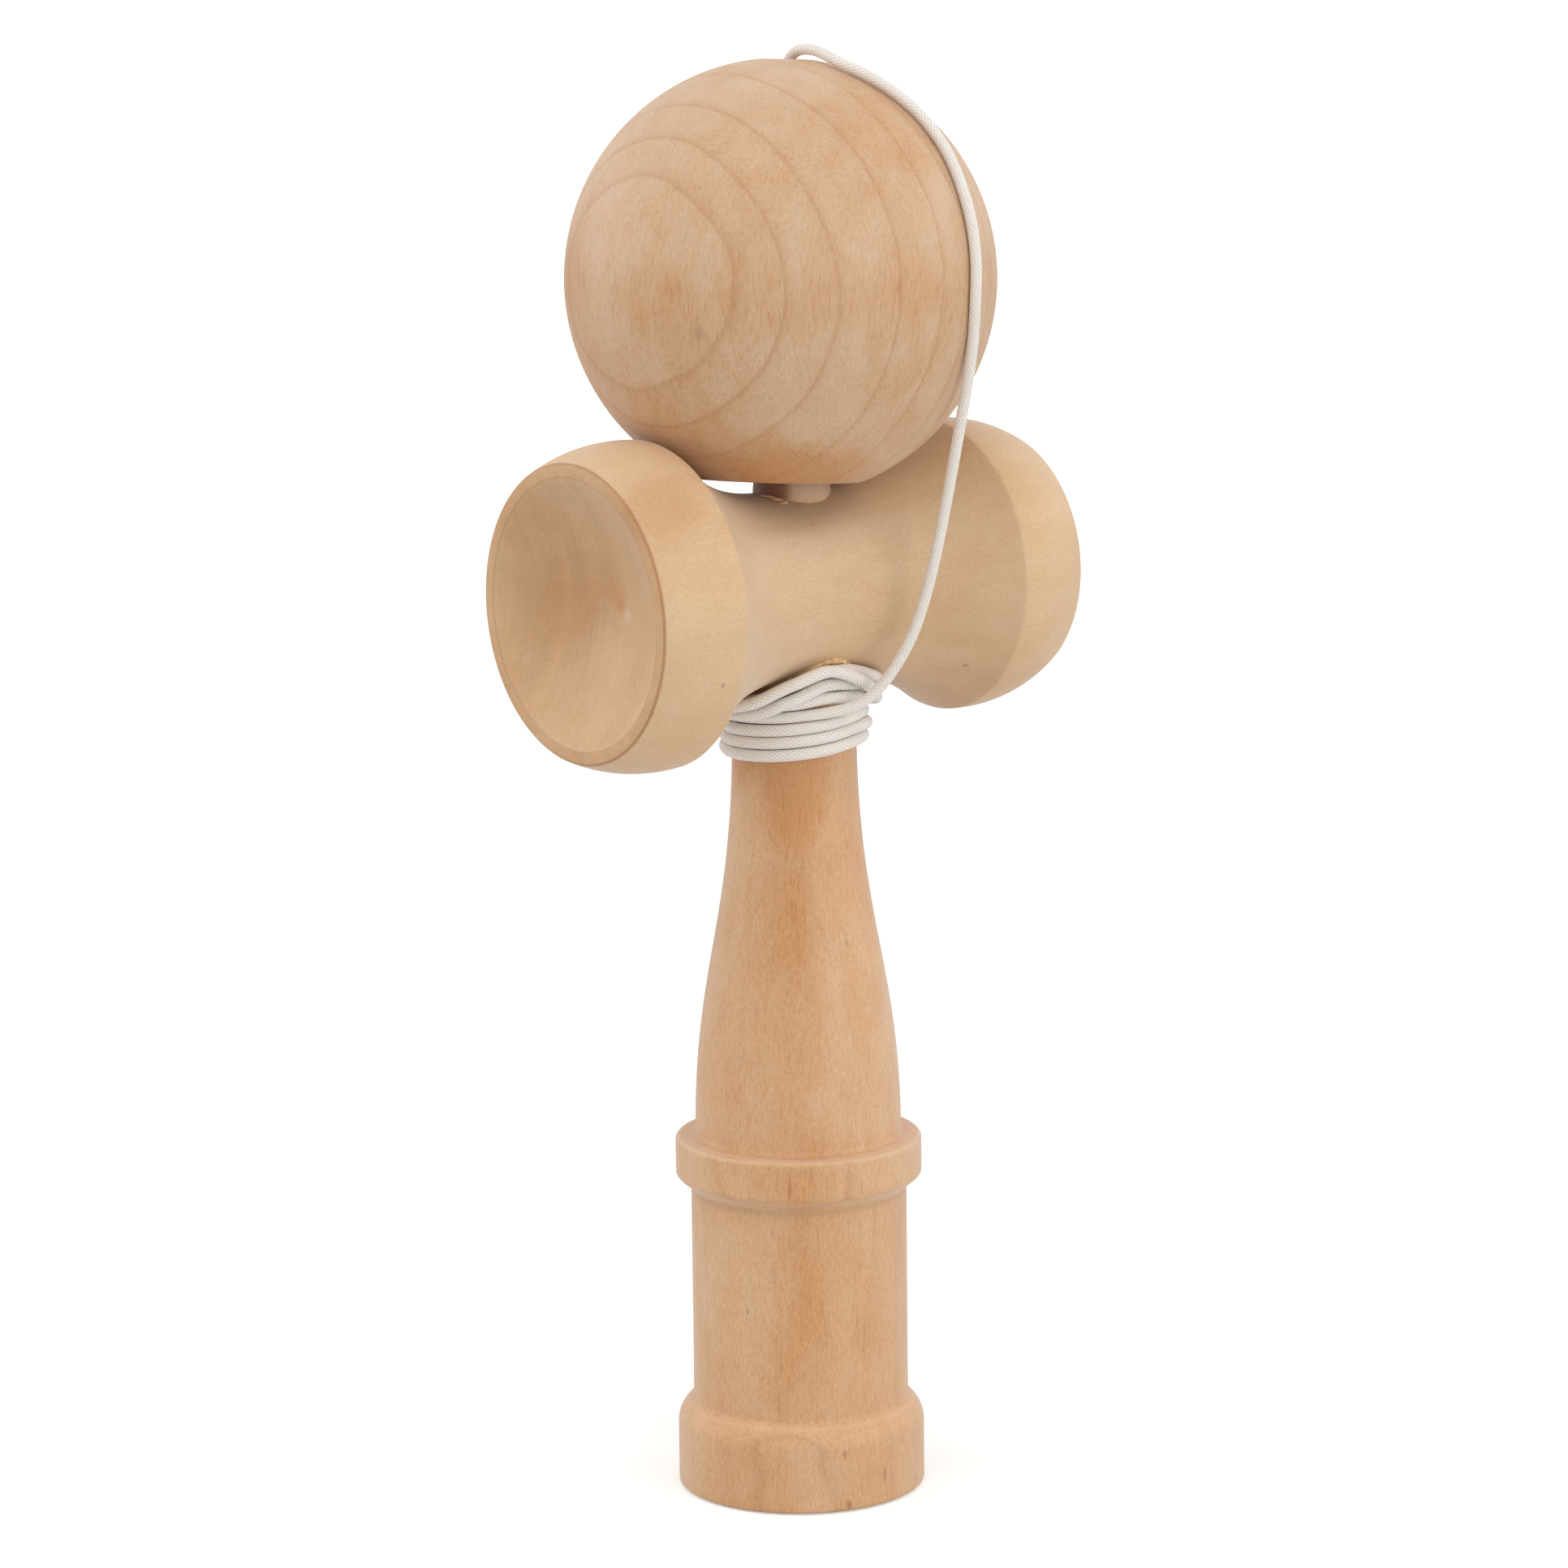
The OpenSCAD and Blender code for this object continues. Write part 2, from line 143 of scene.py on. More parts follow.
def turnedPiece(name, outline, around, place):
    # radius and height of the outline carried round an axis; an outline that starts on the axis also ends
    # there and has both ends as tips, and any other closes on itself
    closed = outline[0, 0] > 0
    inner = outline if closed else outline[1:-1]
    angle = np.linspace(0, 2 * np.pi, around, endpoint=False)
    ring = np.stack([np.cos(angle), np.sin(angle)], -1)
    grid = np.concatenate([inner[:, None, :1] * ring[None], np.repeat(inner[:, None, 1:], around, 1)], -1)
    tips = [] if closed else [[0, 0, outline[0, 1]], [0, 0, outline[-1, 1]]]
    points = np.concatenate([grid.reshape(-1, 3), np.reshape(tips, (-1, 3))])
    quads, triangles = gridFaces(len(inner), around, closed)
    if volumeOf(points, quads, triangles) < 0:
        quads, triangles = quads[:, ::-1], triangles[:, ::-1]
    return facesToObject(name, points @ place[:, :3].T + place[:, 3], quads, triangles)


def axisPlace(origin, axis, side=(1.0, 0.0, 0.0)):
    # columns: two directions square to the axis, the axis, and the origin
    w = np.asarray(axis, float) / np.linalg.norm(axis)
    u = np.asarray(side, float) - np.dot(side, w) * w
    u = u / np.linalg.norm(u)
    return np.stack([u, np.cross(w, u), w, np.asarray(origin, float)], -1)


def arcLine(cx, cy, radius, start, end, count):
    # points on a circle, angles in degrees
    a = np.radians(np.linspace(start, end, count))
    return np.stack([cx + radius * np.cos(a), cy + radius * np.sin(a)], -1)


def straightLine(start, end, count, first=0.0, last=1.0):
    # points from one place to another, over the shares first to last of the way
    t = np.linspace(first, last, count)[:, None]
    return (1 - t) * np.array([start]) + t * np.array([end])


def hollowArc(mouth, depth, count):
    # arc of a sphere from its pole on the axis, at the height of its depth, out to its mouth at height 0
    cap = (mouth ** 2 + depth ** 2) / (2 * depth)
    arc = arcLine(0, depth - cap, cap, 90, 90 - math.degrees(math.asin(mouth / cap)), count)
    arc[0, 0] = 0
    return arc


def smoothStep(t):
    # three squares less two cubes, level at 0 and at 1
    t = np.clip(t, 0, 1)
    return t * t * (3 - 2 * t)


def alongLine(line):
    # distance along a line from its first point to every point
    return np.concatenate([[0], np.cumsum(np.linalg.norm(np.diff(line, axis=0), axis=1))])


def lineLength(line):
    return float(alongLine(line)[-1])


def resample(line, step):
    # points at an even distance along a line
    length = alongLine(line)
    at = np.linspace(0, length[-1], max(2, int(round(length[-1] / step)) + 1))
    return np.stack([np.interp(at, length, line[:, k]) for k in range(line.shape[1])], -1)


def bSpline(points, count):
    # cubic B-spline with a phantom point past each end, count samples in every span
    p = np.asarray(points, float)
    q = np.concatenate([[2 * p[0] - p[1]], p, [2 * p[-1] - p[-2]]])
    t = (np.arange(count) / count)[None, :, None]
    a, b, c, d = (q[k:k + len(p) - 1, None] for k in range(4))
    line = ((1 - t) ** 3 * a + (3 * t ** 3 - 6 * t ** 2 + 4) * b
            + (-3 * t ** 3 + 3 * t ** 2 + 3 * t + 1) * c + t ** 3 * d) / 6
    return np.concatenate([line.reshape(-1, 3), p[-1:]])


# cross piece: radius at every place along its axis, needed by the cord as well
crossSizes = {
    "length": 75.4,
    "waist": (13.25, -3.3),           # radius, place along the axis
    "crease": 25.15,
    "bigBand": (22.8, 27.85),         # radius of its sphere, centre
    "smallBand": (20.65, 26.95),
    "swell": (2.35, 2.8),             # powers of the big and the small flare
    "bigCup": (1.9, 8.2, 38),         # land, depth, points on the hollow
    "smallCup": (1.9, 6.6, 34),
    "lip": [(0.08, 0.02), (0.25, 0.0)],                   # out from the mouth, in from the end
    "edge": [(-0.3, 0.0), (-0.1, 0.02), (-0.02, 0.09)],   # out from the rim, in from the end
    "gaps": (0.3, 0.12),              # strips for the shading to turn in: edge, crease
    "points": (26, 90),               # along a band and between the creases
    "around": 224,
}


def crossRadius(x):
    # two spherical bands at the ends, and a waist that swells by a power of the distance
    s = crossSizes
    bigR, bigX = s["bigBand"]
    smallR, smallX = s["smallBand"]
    low, lowX = s["waist"]
    crease = s["crease"]
    bigSwell, smallSwell = s["swell"]
    bigCrease = math.sqrt(bigR ** 2 - (bigX - crease) ** 2)
    smallCrease = math.sqrt(smallR ** 2 - (smallX - crease) ** 2)
    left = low + (bigCrease - low) * (np.maximum(lowX - x, 0) / (lowX + crease)) ** bigSwell
    right = low + (smallCrease - low) * (np.maximum(x - lowX, 0) / (crease - lowX)) ** smallSwell
    band = np.where(x < 0, np.sqrt(np.maximum(bigR ** 2 - (x + bigX) ** 2, 0)),
                    np.sqrt(np.maximum(smallR ** 2 - (x - smallX) ** 2, 0)))
    return np.where(np.abs(x) > crease, band, np.where(x < lowX, left, right))


def crossRim(side):
    # outer radius of the rim at the big end, side -1, or at the small end, side 1
    return float(crossRadius(np.array(side * crossSizes["length"] / 2)))


crossBack = float(crossRadius(np.array(0.0)))


# cord: out of the hole at the back of the cross piece, eight turns round the neck,
# up the front of the ball and down its hole to the knot under the bead
cordSizes = {
    "diameter": 1.56,
    "woundSwell": 0.1,      # share by which the soft cord spreads where it is wound
    "woundEase": 20.0,      # length over which it spreads
    "firstLayer": 9.65,
    "stations": [165, 205, 230, 258, 290, 322, 360, 420, 470],   # compass angles of a turn
    "turns": [   # distance out from the first layer, drop below the cross piece
        [(1.75, 15), (1.7, 14.5), (1.1, 12.5), (0, 11), (0.15, 11.3), (1.9, 13.3), (1.9, 15.45),
         (1.85, 14.85), (1.85, 15.4)],
        [(1.75, 16.8), (1.8, 16.4), (1.75, 14.45), (0.2, 12.8), (0, 13.25), (0, 14.15), (0, 15.25),
         (0, 15.3), (0, 15.5)],
        [(0, 15.6), (0, 15.4), (0, 15.25), (0, 14.65), (0, 15), (0, 15.95), (0, 17.1), (0, 17.85),
         (0, 18.7)],
        [(0, 19.3), (0, 19.05), (0, 18.75), (0, 18.3), (0, 17.75), (0, 17.8), (0, 18.9), (0, 19.65),
         (0, 20.5)],
        [(0, 21.05), (0, 20.8), (0, 20.5), (0, 20.05), (0, 19.5), (0.5, 19.5), (0, 20.65), (0, 21.4),
         (0, 22.25)],
        [(0, 22.8), (0, 22.6), (0, 22.3), (0, 21.85), (0, 21.3), (0, 21.3), (0.1, 22.5), (1.8, 22.1),
         (2.9, 19.3)],
        [(3.55, 16.3), (3.5, 14.7), (2.85, 12.1), (1.75, 10.5), (1.85, 12.8), (1.9, 16), (1.85, 17.25),
         (1.8, 16.75), (0.95, 17.2)],
        [(0, 17.5), (0, 17.25), (0, 17), (0, 16.55)],
    ],
    "start": [(90, 1.9, 9.1), (125, 1.85, 12.3)],
    "exitAngle": 360 * 7 + 240,
    "exitStep": 1.3,        # straight on from the winding
    "ballGap": 0.95,        # middle of the cord over the ball's skin
    "topGap": 0.5,          # more at the top of the ball
    "bulge": [(0.008, 3.4, -2.2), (0.018, 5.4, -3.4), (0.035, 6.9, -4.2), (0.07, 8.1, -4.8), (0.13, 9, -5.2),
              (0.2, 9.3, -5.4), (0.28, 9, -5.1), (0.37, 8.3, -4.6), (0.47, 7.4, -3.8), (0.58, 6.3, -2.9),
              (0.69, 5, -2.1), (0.8, 3.5, -1.6), (0.9, 1.9, -1)],
    "overBall": [(-69, 92), (-68, 85), (-67, 78), (-66, 71.5), (-65, 65), (-63.5, 59), (-62, 53), (-61, 47),
                 (-60, 41), (-60, 35), (-60.5, 29), (-61.5, 23), (-63, 17.5)],
    "overTop": [(6.6, 1.1), (4.8, 1.4), (3.1, 1.45), (1.6, 1), (0.6, 0), (0.1, -1.2)],
    "tailTop": ballTop - 3.5,
    "tailStep": 1.3,        # straight down the hole before the tail
    "tailSunk": 0.9,        # end of the tail below the top of the knot
    "knotTop": 2.833,
    "holeDepth": 5.0,
    "points": (1321, 10, 40),   # on the winding, in a span of the lead and the run, on the tail
    "sides": 18,
    "step": 0.42,
}


def windingLine(s):
    # cubic through the stations of every turn, each slope taken from its two neighbours
    rows = list(s["start"])
    for n, turn in enumerate(s["turns"]):
        rows += [(360 * n + angle, out, drop) for angle, (out, drop) in zip(s["stations"], turn)]
    x, *values = np.array(rows, float).T
    angle = np.linspace(x[0], s["exitAngle"], s["points"][0])
    i = np.clip(np.searchsorted(x, angle, side="right") - 1, 0, len(x) - 2)
    h = x[i + 1] - x[i]
    t = (angle - x[i]) / h
    found = []
    for y in values:
        slope = np.concatenate([[(y[1] - y[0]) / (x[1] - x[0])], (y[2:] - y[:-2]) / (x[2:] - x[:-2]),
                                [(y[-1] - y[-2]) / (x[-1] - x[-2])]])
        found.append(smoothStep(1 - t) * y[i] + smoothStep(t) * y[i + 1]
                     + h * t * (1 - t) * ((1 - t) * slope[i] - t * slope[i + 1]))
    r = s["firstLayer"] + found[0]
    a = np.radians(angle)
    return np.stack([r * np.cos(a), r * np.sin(a), crossHeight - found[1]], -1)


def leadLine(s, first):
    # from the knot in the tang out of the hole, round and down to the first turn
    back, deep, z = crossBack, s["holeDepth"], crossHeight
    return bSpline([[0, deep, z], [0, deep + 2, z], [0, back - 3, z], [0, back - 0.5, z],
                    [0.4, back + 1.8, z - 0.3], [1.9, back + 3.3, z - 1.6], [3.6, back + 3.4, z - 3.6],
                    [5, back + 2.6, z - 5.5], [5.2, back + 1.2, z - 7], [4.3, back - 0.1, first[2] + 0.7],
                    first + [2.5, 0.45, 0.3], first], s["points"][1])


def runLine(s, wind):
    # straight on from the winding, a bulge beside the straight climb, then the ball by compass angle and
    # angle from its top, then over the edge of the hole and down its axis
    exitAt = wind[-1]
    exitWay = exitAt - wind[-8]
    onward = exitAt + s["exitStep"] * exitWay / np.linalg.norm(exitWay)
    side, down = np.radians(np.array(s["overBall"], float)).T
    reach = ballRadius + s["topGap"] * np.cos(down) ** 2 + s["ballGap"]
    over = ballCentre + reach[:, None] * np.stack([np.sin(down) * np.cos(side), np.sin(down) * np.sin(side),
                                                   np.cos(down)], -1)
    bulge = np.array(s["bulge"], float)
    climb = exitAt + bulge[:, :1] * (over[0] - exitAt)
    climb[:, :2] += bulge[:, 1:]
    topSide = np.array([0.1, -1.0, 0.0])
    topSide = topSide - topSide @ ballAxis * ballAxis
    topSide = topSide / np.linalg.norm(topSide)
    rows = np.array(s["overTop"], float)
    bend = ballCentre + (ballTop + rows[:, 1:]) * ballAxis + rows[:, :1] * topSide
    ends = [onBallAxis(s["tailTop"] + s["tailStep"]), onBallAxis(s["tailTop"])]
    return bSpline(np.concatenate([[exitAt, onward], climb, over, bend, ends]), s["points"][1])


def tubeFrames(line):
    # a normal carried along the line without twist, from the double reflection of each step
    tangent = np.gradient(line, axis=0)
    tangent = tangent / np.linalg.norm(tangent, axis=1)[:, None]
    normal = np.zeros_like(line)
    side = np.cross(tangent[0], [0.3, 0.2, 0.9])
    normal[0] = side / np.linalg.norm(side)
    for k in range(len(line) - 1):
        step = line[k + 1] - line[k]
        n = normal[k] - 2 * (step @ normal[k]) / (step @ step) * step
        t = tangent[k] - 2 * (step @ tangent[k]) / (step @ step) * step
        turn = tangent[k + 1] - t
        size = turn @ turn
        normal[k + 1] = n if size < 1e-14 else n - 2 * (turn @ n) / size * turn
    return normal, np.cross(tangent, normal)


def tubePiece(name, line, radius, sides, closed=False):
    # circles of the given radius on a line, each square to it; u runs round, v along in millimetres
    normal, other = tubeFrames(line)
    a = np.linspace(0, 2 * np.pi, sides, endpoint=False)[None, :, None]
    ring = np.cos(a) * normal[:, None] + np.sin(a) * other[:, None]
    points = (line[:, None] + np.reshape(radius, (-1, 1, 1)) * ring).reshape(-1, 3)
    if not closed:
        points = np.concatenate([points, line[:1], line[-1:]])
    quads, triangles = gridFaces(len(line), sides, closed)
    i, j = np.divmod(np.arange(len(quads))[:, None], sides)
    across, onward = np.array([[0, 1, 1, 0], [0, 0, 1, 1]])
    along = alongLine(np.concatenate([line, line[:1]]))
    uvs = np.stack([(j + across) / sides, along[i + onward]], -1).reshape(-1, 2)
    uvs = np.concatenate([uvs, np.zeros((triangles.size, 2))])
    return facesToObject(name, points, quads, triangles, uvs)


def layCord(s):
    # lead, winding, run and tail as one even line, thicker where it is wound
    wind = windingLine(s)
    lead = leadLine(s, wind[0])
    run = runLine(s, wind)
    tail = np.linspace(onBallAxis(s["tailTop"]), onBallAxis(s["knotTop"] - s["tailSunk"]), s["points"][2])
    line = resample(np.concatenate([lead[:-1], wind[:-1], run[:-1], tail]), s["step"])
    woundFrom = lineLength(lead)
    woundTo = woundFrom + lineLength(wind)
    along = np.linspace(0, lineLength(line), len(line))
    wound = smoothStep((along - woundFrom) / s["woundEase"]) * smoothStep((woundTo - along) / s["woundEase"])
    radius = s["diameter"] / 2 * (1 + s["woundSwell"] * wound)
    return tubePiece("braided_cord", line, radius, s["sides"]), line


cord, cordLine = layCord(cordSizes)


# overhand knots at both ends of the cord
knotSizes = {
    "cord": 0.6,          # radius of the pulled-tight cord
    "spread": 0.4,        # scale of the loops
    "height": 1.05,
    "bead": onBallAxis(cordSizes["knotTop"] - 1.7),
    "tang": np.array([0.0, 3.3, crossHeight]),
    "side": (0.2, 0.9, 0.4),
    "points": 120,
    "sides": 12,
}


def knotPiece(name, centre, axis):
    # trefoil: one turn of a circle and two turns of a circle twice as wide, added up, rising three times
    s = knotSizes
    t = np.linspace(0, 2 * np.pi, s["points"], endpoint=False)
    x = s["spread"] * (np.sin(t) + 2 * np.sin(2 * t))
    y = s["spread"] * (np.cos(t) - 2 * np.cos(2 * t))
    z = -s["height"] * np.sin(3 * t)
    place = axisPlace(centre, axis, s["side"])
    line = np.stack([x, y, z], -1) @ place[:, :3].T + place[:, 3]
    return tubePiece(name, line, s["cord"], s["sides"], closed=True)


beadKnot = knotPiece("bead_end_knot", knotSizes["bead"], ballAxis)
tangKnot = knotPiece("handle_end_knot", knotSizes["tang"], (0.0, 1.0, 0.0))
print("knots tied")


# handle, turned in one piece from the hollow foot to the tip of the spike
handleSizes = {
    "foot": (17.5, 8.7, 4.5),          # radius, straight side, shoulder
    "hollow": (15.3, 5.5),             # mouth, depth
    "grip": 15.25,
    "ring": (43.2, 7.6, 17.4, 5.1),    # height it starts at, thickness, radius, straight side
    "body": (14.55, 59.2),             # radius at the ring, length to the neck
    "bodyBend": (0.425, 0.51),         # shares of its length at which its curve is steered
    "neck": 8.7,
    "neckSunk": 0.8,                   # how far the neck goes into the waist
    "tang": 5.4,
    "spike": (142.95, 169.45, 2.5),    # foot, tip, radius of the tip
    "lip": 0.25,                       # radii of the eased edges
    "edge": 0.6,
    "gaps": (0.8, 0.35, 0.3, 0.5),     # strips for the shading to turn in: foot, shoulder, ring, neck
    "around": 200,
}


def handleOutline(s):
    # hollow arc, foot, shoulder arc, grip, half-cosine ogee, ring, cubic taper, neck, tang and spike
    footR, footSide, shoulder = s["foot"]
    mouth, depth = s["hollow"]
    gripR, neckR, tangR = s["grip"], s["neck"], s["tang"]
    ringZ, ringH, ringR, ringSide = s["ring"]
    bodyR, bodyL = s["body"]
    spikeFoot, tip, tipR = s["spike"]
    lipR, edgeR = s["lip"], s["edge"]
    footGap, shoulderGap, ringGap, neckGap = s["gaps"]
    top = ringZ + ringH
    neckTop = crossHeight - math.sqrt(crossSizes["waist"][0] ** 2 - neckR ** 2) + s["neckSunk"]
    hollow = hollowArc(mouth, depth, 30)
    lip = arcLine(mouth + lipR, lipR, lipR, 200, 270, 5)
    foot = arcLine(footR - edgeR, edgeR, edgeR, -90, 0, 8)
    side = straightLine((footR, edgeR + footGap), (footR, footSide - footGap), 6)
    shoulderEnd = math.degrees(math.acos((gripR - footR + shoulder) / shoulder))
    shoulderArc = arcLine(footR - shoulder, footSide, shoulder, 0, shoulderEnd, 24)
    grip = straightLine((gripR, shoulderArc[-1, 1] + shoulderGap), (gripR, ringZ - ringGap), 26)
    t = np.linspace(0, 1, 26)
    ogee = np.stack([gripR + (ringR - gripR) * (1 - np.cos(np.pi * t)) / 2,
                     ringZ + (ringH - ringSide) * t], -1)
    ring = straightLine((ringR, top - ringSide + ringGap), (ringR, top - edgeR - ringGap), 7)
    ringEdge = arcLine(ringR - edgeR, top - edgeR, edgeR, 0, 90, 10)
    land = straightLine((ringR - edgeR - ringGap, top), (bodyR + ringGap, top), 5)
    t = np.linspace(0.004, 1, 70)
    q = 1 - t
    lowBend, highBend = s["bodyBend"]
    body = np.stack([bodyR * (q ** 3 + 3 * q * q * t) + neckR * (3 * q * t * t + t ** 3),
                     top + bodyL * (3 * q * q * t * lowBend + 3 * q * t * t * highBend + t ** 3)], -1)
    neck = straightLine((neckR, top + bodyL + neckGap), (neckR, neckTop), 20)
    tang = straightLine((tangR, neckTop), (tangR, spikeFoot), 8)
    lean = math.degrees(math.asin((tangR - tipR) / (tip - tipR - spikeFoot)))
    point = arcLine(0, tip - tipR, tipR, lean, 90, 18)
    point[-1, 0] = 0
    cone = straightLine((tangR, spikeFoot), point[0], 24, 0.05, 0.97)
    return np.concatenate([hollow, lip, foot, side, shoulderArc, grip, ogee, ring, ringEdge, land, body,
                           neck, tang, cone, point])


handle = turnedPiece("turned_handle", handleOutline(handleSizes), handleSizes["around"],
                     axisPlace((0, 0, 0), (0, 0, 1)))
print("handle turned")


def cupEnd(s, rim, cup):
    # from the pole of the hollow over lip and flat to the eased edge, with heights counted in from the end
    land, depth, count = cup
    hollow = hollowArc(rim - land, depth, count)[:-1]
    return np.concatenate([hollow, s["lip"] + np.array([rim - land, 0]), s["edge"] + np.array([rim, 0])])


def crossOutline(s):
    # big cup, band, crease, waist, crease, band and small cup, which is the mirrored end
    half, crease = s["length"] / 2, s["crease"]
    edgeGap, gap = s["gaps"]
    bandPoints, waistPoints = s["points"]
    x = np.concatenate([np.linspace(-half + edgeGap, -crease - gap, bandPoints),
                        np.linspace(-crease + gap, crease - gap, waistPoints),
                        np.linspace(crease + gap, half - edgeGap, bandPoints)])
    big = cupEnd(s, crossRim(-1), s["bigCup"]) - (0, half)
    small = cupEnd(s, crossRim(1), s["smallCup"])[::-1] * (1, -1) + (0, half)
    return np.concatenate([big, np.stack([crossRadius(x), x], -1), small])


crossPiece = turnedPiece("turned_cross_piece", crossOutline(crossSizes), crossSizes["around"],
                         axisPlace((0, 0, crossHeight), (1, 0, 0), (0, 0, 1)))
print("cross piece turned")


# ball with its bore, the cone above the bore, and the sunk hole for the cord
ballSizes = {
    "radius": ballRadius,
    "half": ballHalf,
    "bore": 10.5,
    "boreEnd": [(0.0, 1.9), (0.05, 1.5)],                          # out from the bore, up from the mouth
    "mouth": 12.0,
    "mouthEdge": [(-0.35, 0.05), (-0.15, -0.07), (0.05, -0.06)],   # out and up from the mouth
    "mouthEase": 0.25,
    "coneHalf": 59.0,                                              # degrees
    "coneTip": ballHalf - 18.5,
    "hole": 1.3,
    "holeEdge": [(0.25, 0.3), (0.06, 0.0), (0.0, -0.3)],           # out from the hole, up from its sunk end
    "holeGap": 2.0,
    "sink": (3.0, 2.5),                                            # radius, depth
    "sinkEdge": [(0.2, -0.01), (0.0, -0.08), (-0.15, -0.28)],      # out from the sink, up from the top
    "top": ballTop,
    "around": 224,
}


def ballOutline(s):
    # bore, eased mouth, ellipse of latitude, sunk edge, hole and cone, as one closed loop
    boreR, mouth, holeR, top = s["bore"], s["mouth"], s["hole"], s["top"]
    sinkR, sinkDepth = s["sink"]
    sunk = top - sinkDepth
    cot = 1 / math.tan(math.radians(s["coneHalf"]))
    coneFoot, holeFoot = s["coneTip"] - boreR * cot, s["coneTip"] - holeR * cot
    mouthAngle = -math.acos((mouth + s["mouthEase"]) / s["radius"])
    mouthW = s["half"] * math.sin(mouthAngle)
    lat = np.linspace(mouthAngle, math.asin(top / s["half"]), 130)
    boreEnd = s["boreEnd"] + np.array([boreR, mouthW])
    bore = straightLine((boreR, coneFoot), boreEnd[0], 20)
    bevel = s["mouthEdge"] + np.array([mouth, mouthW])
    skin = np.stack([s["radius"] * np.cos(lat), s["half"] * np.sin(lat)], -1)
    rim = s["sinkEdge"] + np.array([sinkR, top])
    sink = s["holeEdge"] + np.array([holeR, sunk])
    hole = straightLine((holeR, sunk - s["holeGap"]), (holeR, holeFoot), 8)
    cone = straightLine((holeR, holeFoot), (boreR, coneFoot), 10, 0.06, 0.94)
    return np.concatenate([bore, boreEnd[1:], bevel, skin, rim, sink, hole, cone])


ball = turnedPiece("turned_ball", ballOutline(ballSizes), ballSizes["around"],
                   axisPlace(ballCentre, ballAxis))
print("ball turned")


beadSizes = {"radius": 4.0, "hole": 0.98, "ease": (0.35, 0.25), "up": 6.683, "around": 64}


def beadOutline(s):
    # a sphere cut by its hole, with the edges of the hole eased
    easeOut, easeIn = s["ease"]
    cut = math.degrees(math.acos((s["hole"] + easeOut) / s["radius"]))
    skin = arcLine(0, 0, s["radius"], -cut, cut, 40)
    end = skin[-1, 1] - easeIn
    return np.concatenate([skin, straightLine((s["hole"], end), (s["hole"], -end), 8)])


bead = turnedPiece("turned_bead", beadOutline(beadSizes), beadSizes["around"],
                   axisPlace(onBallAxis(beadSizes["up"]), ballAxis))


# glue squeezed out where the neck goes into the waist
glueSizes = {
    "from": 226,
    "to": 304,
    "neck": 8.72,
    "size": 0.34,
    "least": 0.03,
    "swell": (0.5, 0.16, 1.2),        # usual, least and most share of the size
    "waves": [(0.28, 9.0, 0.6), (0.2, 23.0, 1.7), (0.12, 47.0, 0.0)],   # depth, radians along it, shift
    "lump": (266, 20, 0.36, 0.66),    # compass angle of the thickest place, spread, extra size and reach
    "lumpWave": (0.8, 0.2, 0.9),      # usual share, depth, radians in a degree
    "out": 0.35,                      # share of its size that stands off the neck
    "drop": (0.1, 0.15),              # below the waist, and more at the lump
    "points": 160,
    "sides": 14,
}


def glueBead(s):
    # the seam where the neck meets the waist, with a thickness that swells and shrinks in sine waves and
    # has one lump, a bell of the third power
    angle = np.linspace(s["from"], s["to"], s["points"])
    a = np.radians(angle)
    t = np.linspace(0, 1, s["points"])
    usual, low, high = s["swell"]
    swell = usual + sum(depth * np.sin(turns * t + shift) for depth, turns, shift in s["waves"])
    ends = np.sqrt(np.clip(np.sin(np.pi * t), 0, 1))
    size = s["size"] * np.clip(swell, low, high) * ends + s["least"]
    middle, spread, extra, reach = s["lump"]
    lump = np.exp(-np.abs((angle - middle) / spread) ** 3)
    usual, depth, turns = s["lumpWave"]
    size = size + extra * lump * (usual + depth * np.sin(turns * angle))
    out = s["neck"] + s["out"] * size + reach * lump
    x, y = out * np.cos(a), out * np.sin(a)
    drop, lumpDrop = s["drop"]
    z = crossHeight - np.sqrt(crossRadius(x) ** 2 - y ** 2) - drop - lumpDrop * lump
    return tubePiece("dried_glue", np.stack([x, y, z], -1), size, s["sides"])


glue = glueBead(glueSizes)
print("bead and glue made")


# fibres torn up beside the foot of the spike, lying on the saddle
fibreSizes = {
    "fibres": [   # start, bend and end on the saddle (x, y), height of each over it, radius
        ([(-4.9, -3.4), (-6.1, -3.0), (-7.5, -2.6)], [-0.15, 0.28, 0.3], 0.24),
        ([(-4.7, -4.0), (-5.6, -4.2), (-6.6, -3.9)], [-0.15, 0.3, 0.3], 0.34),
        ([(-4.4, -4.3), (-5.0, -4.9), (-5.9, -4.9)], [-0.15, 0.25, 0.15], 0.3),
    ],
    "taper": (0.85, 1.5),   # share lost at the end, power
    "points": 24,
    "sides": 8,
}


def tornFibre(name, s, places, lifts, radius):
    # a tapered thread on a parabola through three places: start sunk in the saddle, bend and end lifted
    x, y = np.array(places).T
    z = crossHeight + np.sqrt(crossRadius(x) ** 2 - y ** 2) + lifts
    a, b, c = np.stack([x, y, z], -1)
    t = np.linspace(0, 1, s["points"])[:, None]
    line = (1 - t) * (1 - 2 * t) * a + 4 * t * (1 - t) * b + t * (2 * t - 1) * c
    lost, power = s["taper"]
    return tubePiece(name, line, radius * (1 - lost * t[:, 0] ** power), s["sides"])


tornFibres = [tornFibre("torn_fibre_%d" % k, fibreSizes, *f) for k, f in enumerate(fibreSizes["fibres"])]
print("fibres made")


# string hole through the back of the cross piece
holeSizes = {
    "foot": 2.0,     # from the handle's axis
    "radius": 0.95,
    "flare": [(0.95, -0.9), (1.08, -0.45), (1.5, 0.2), (1.5, 4.0)],   # radius, place out from the back
    "around": 40,
}


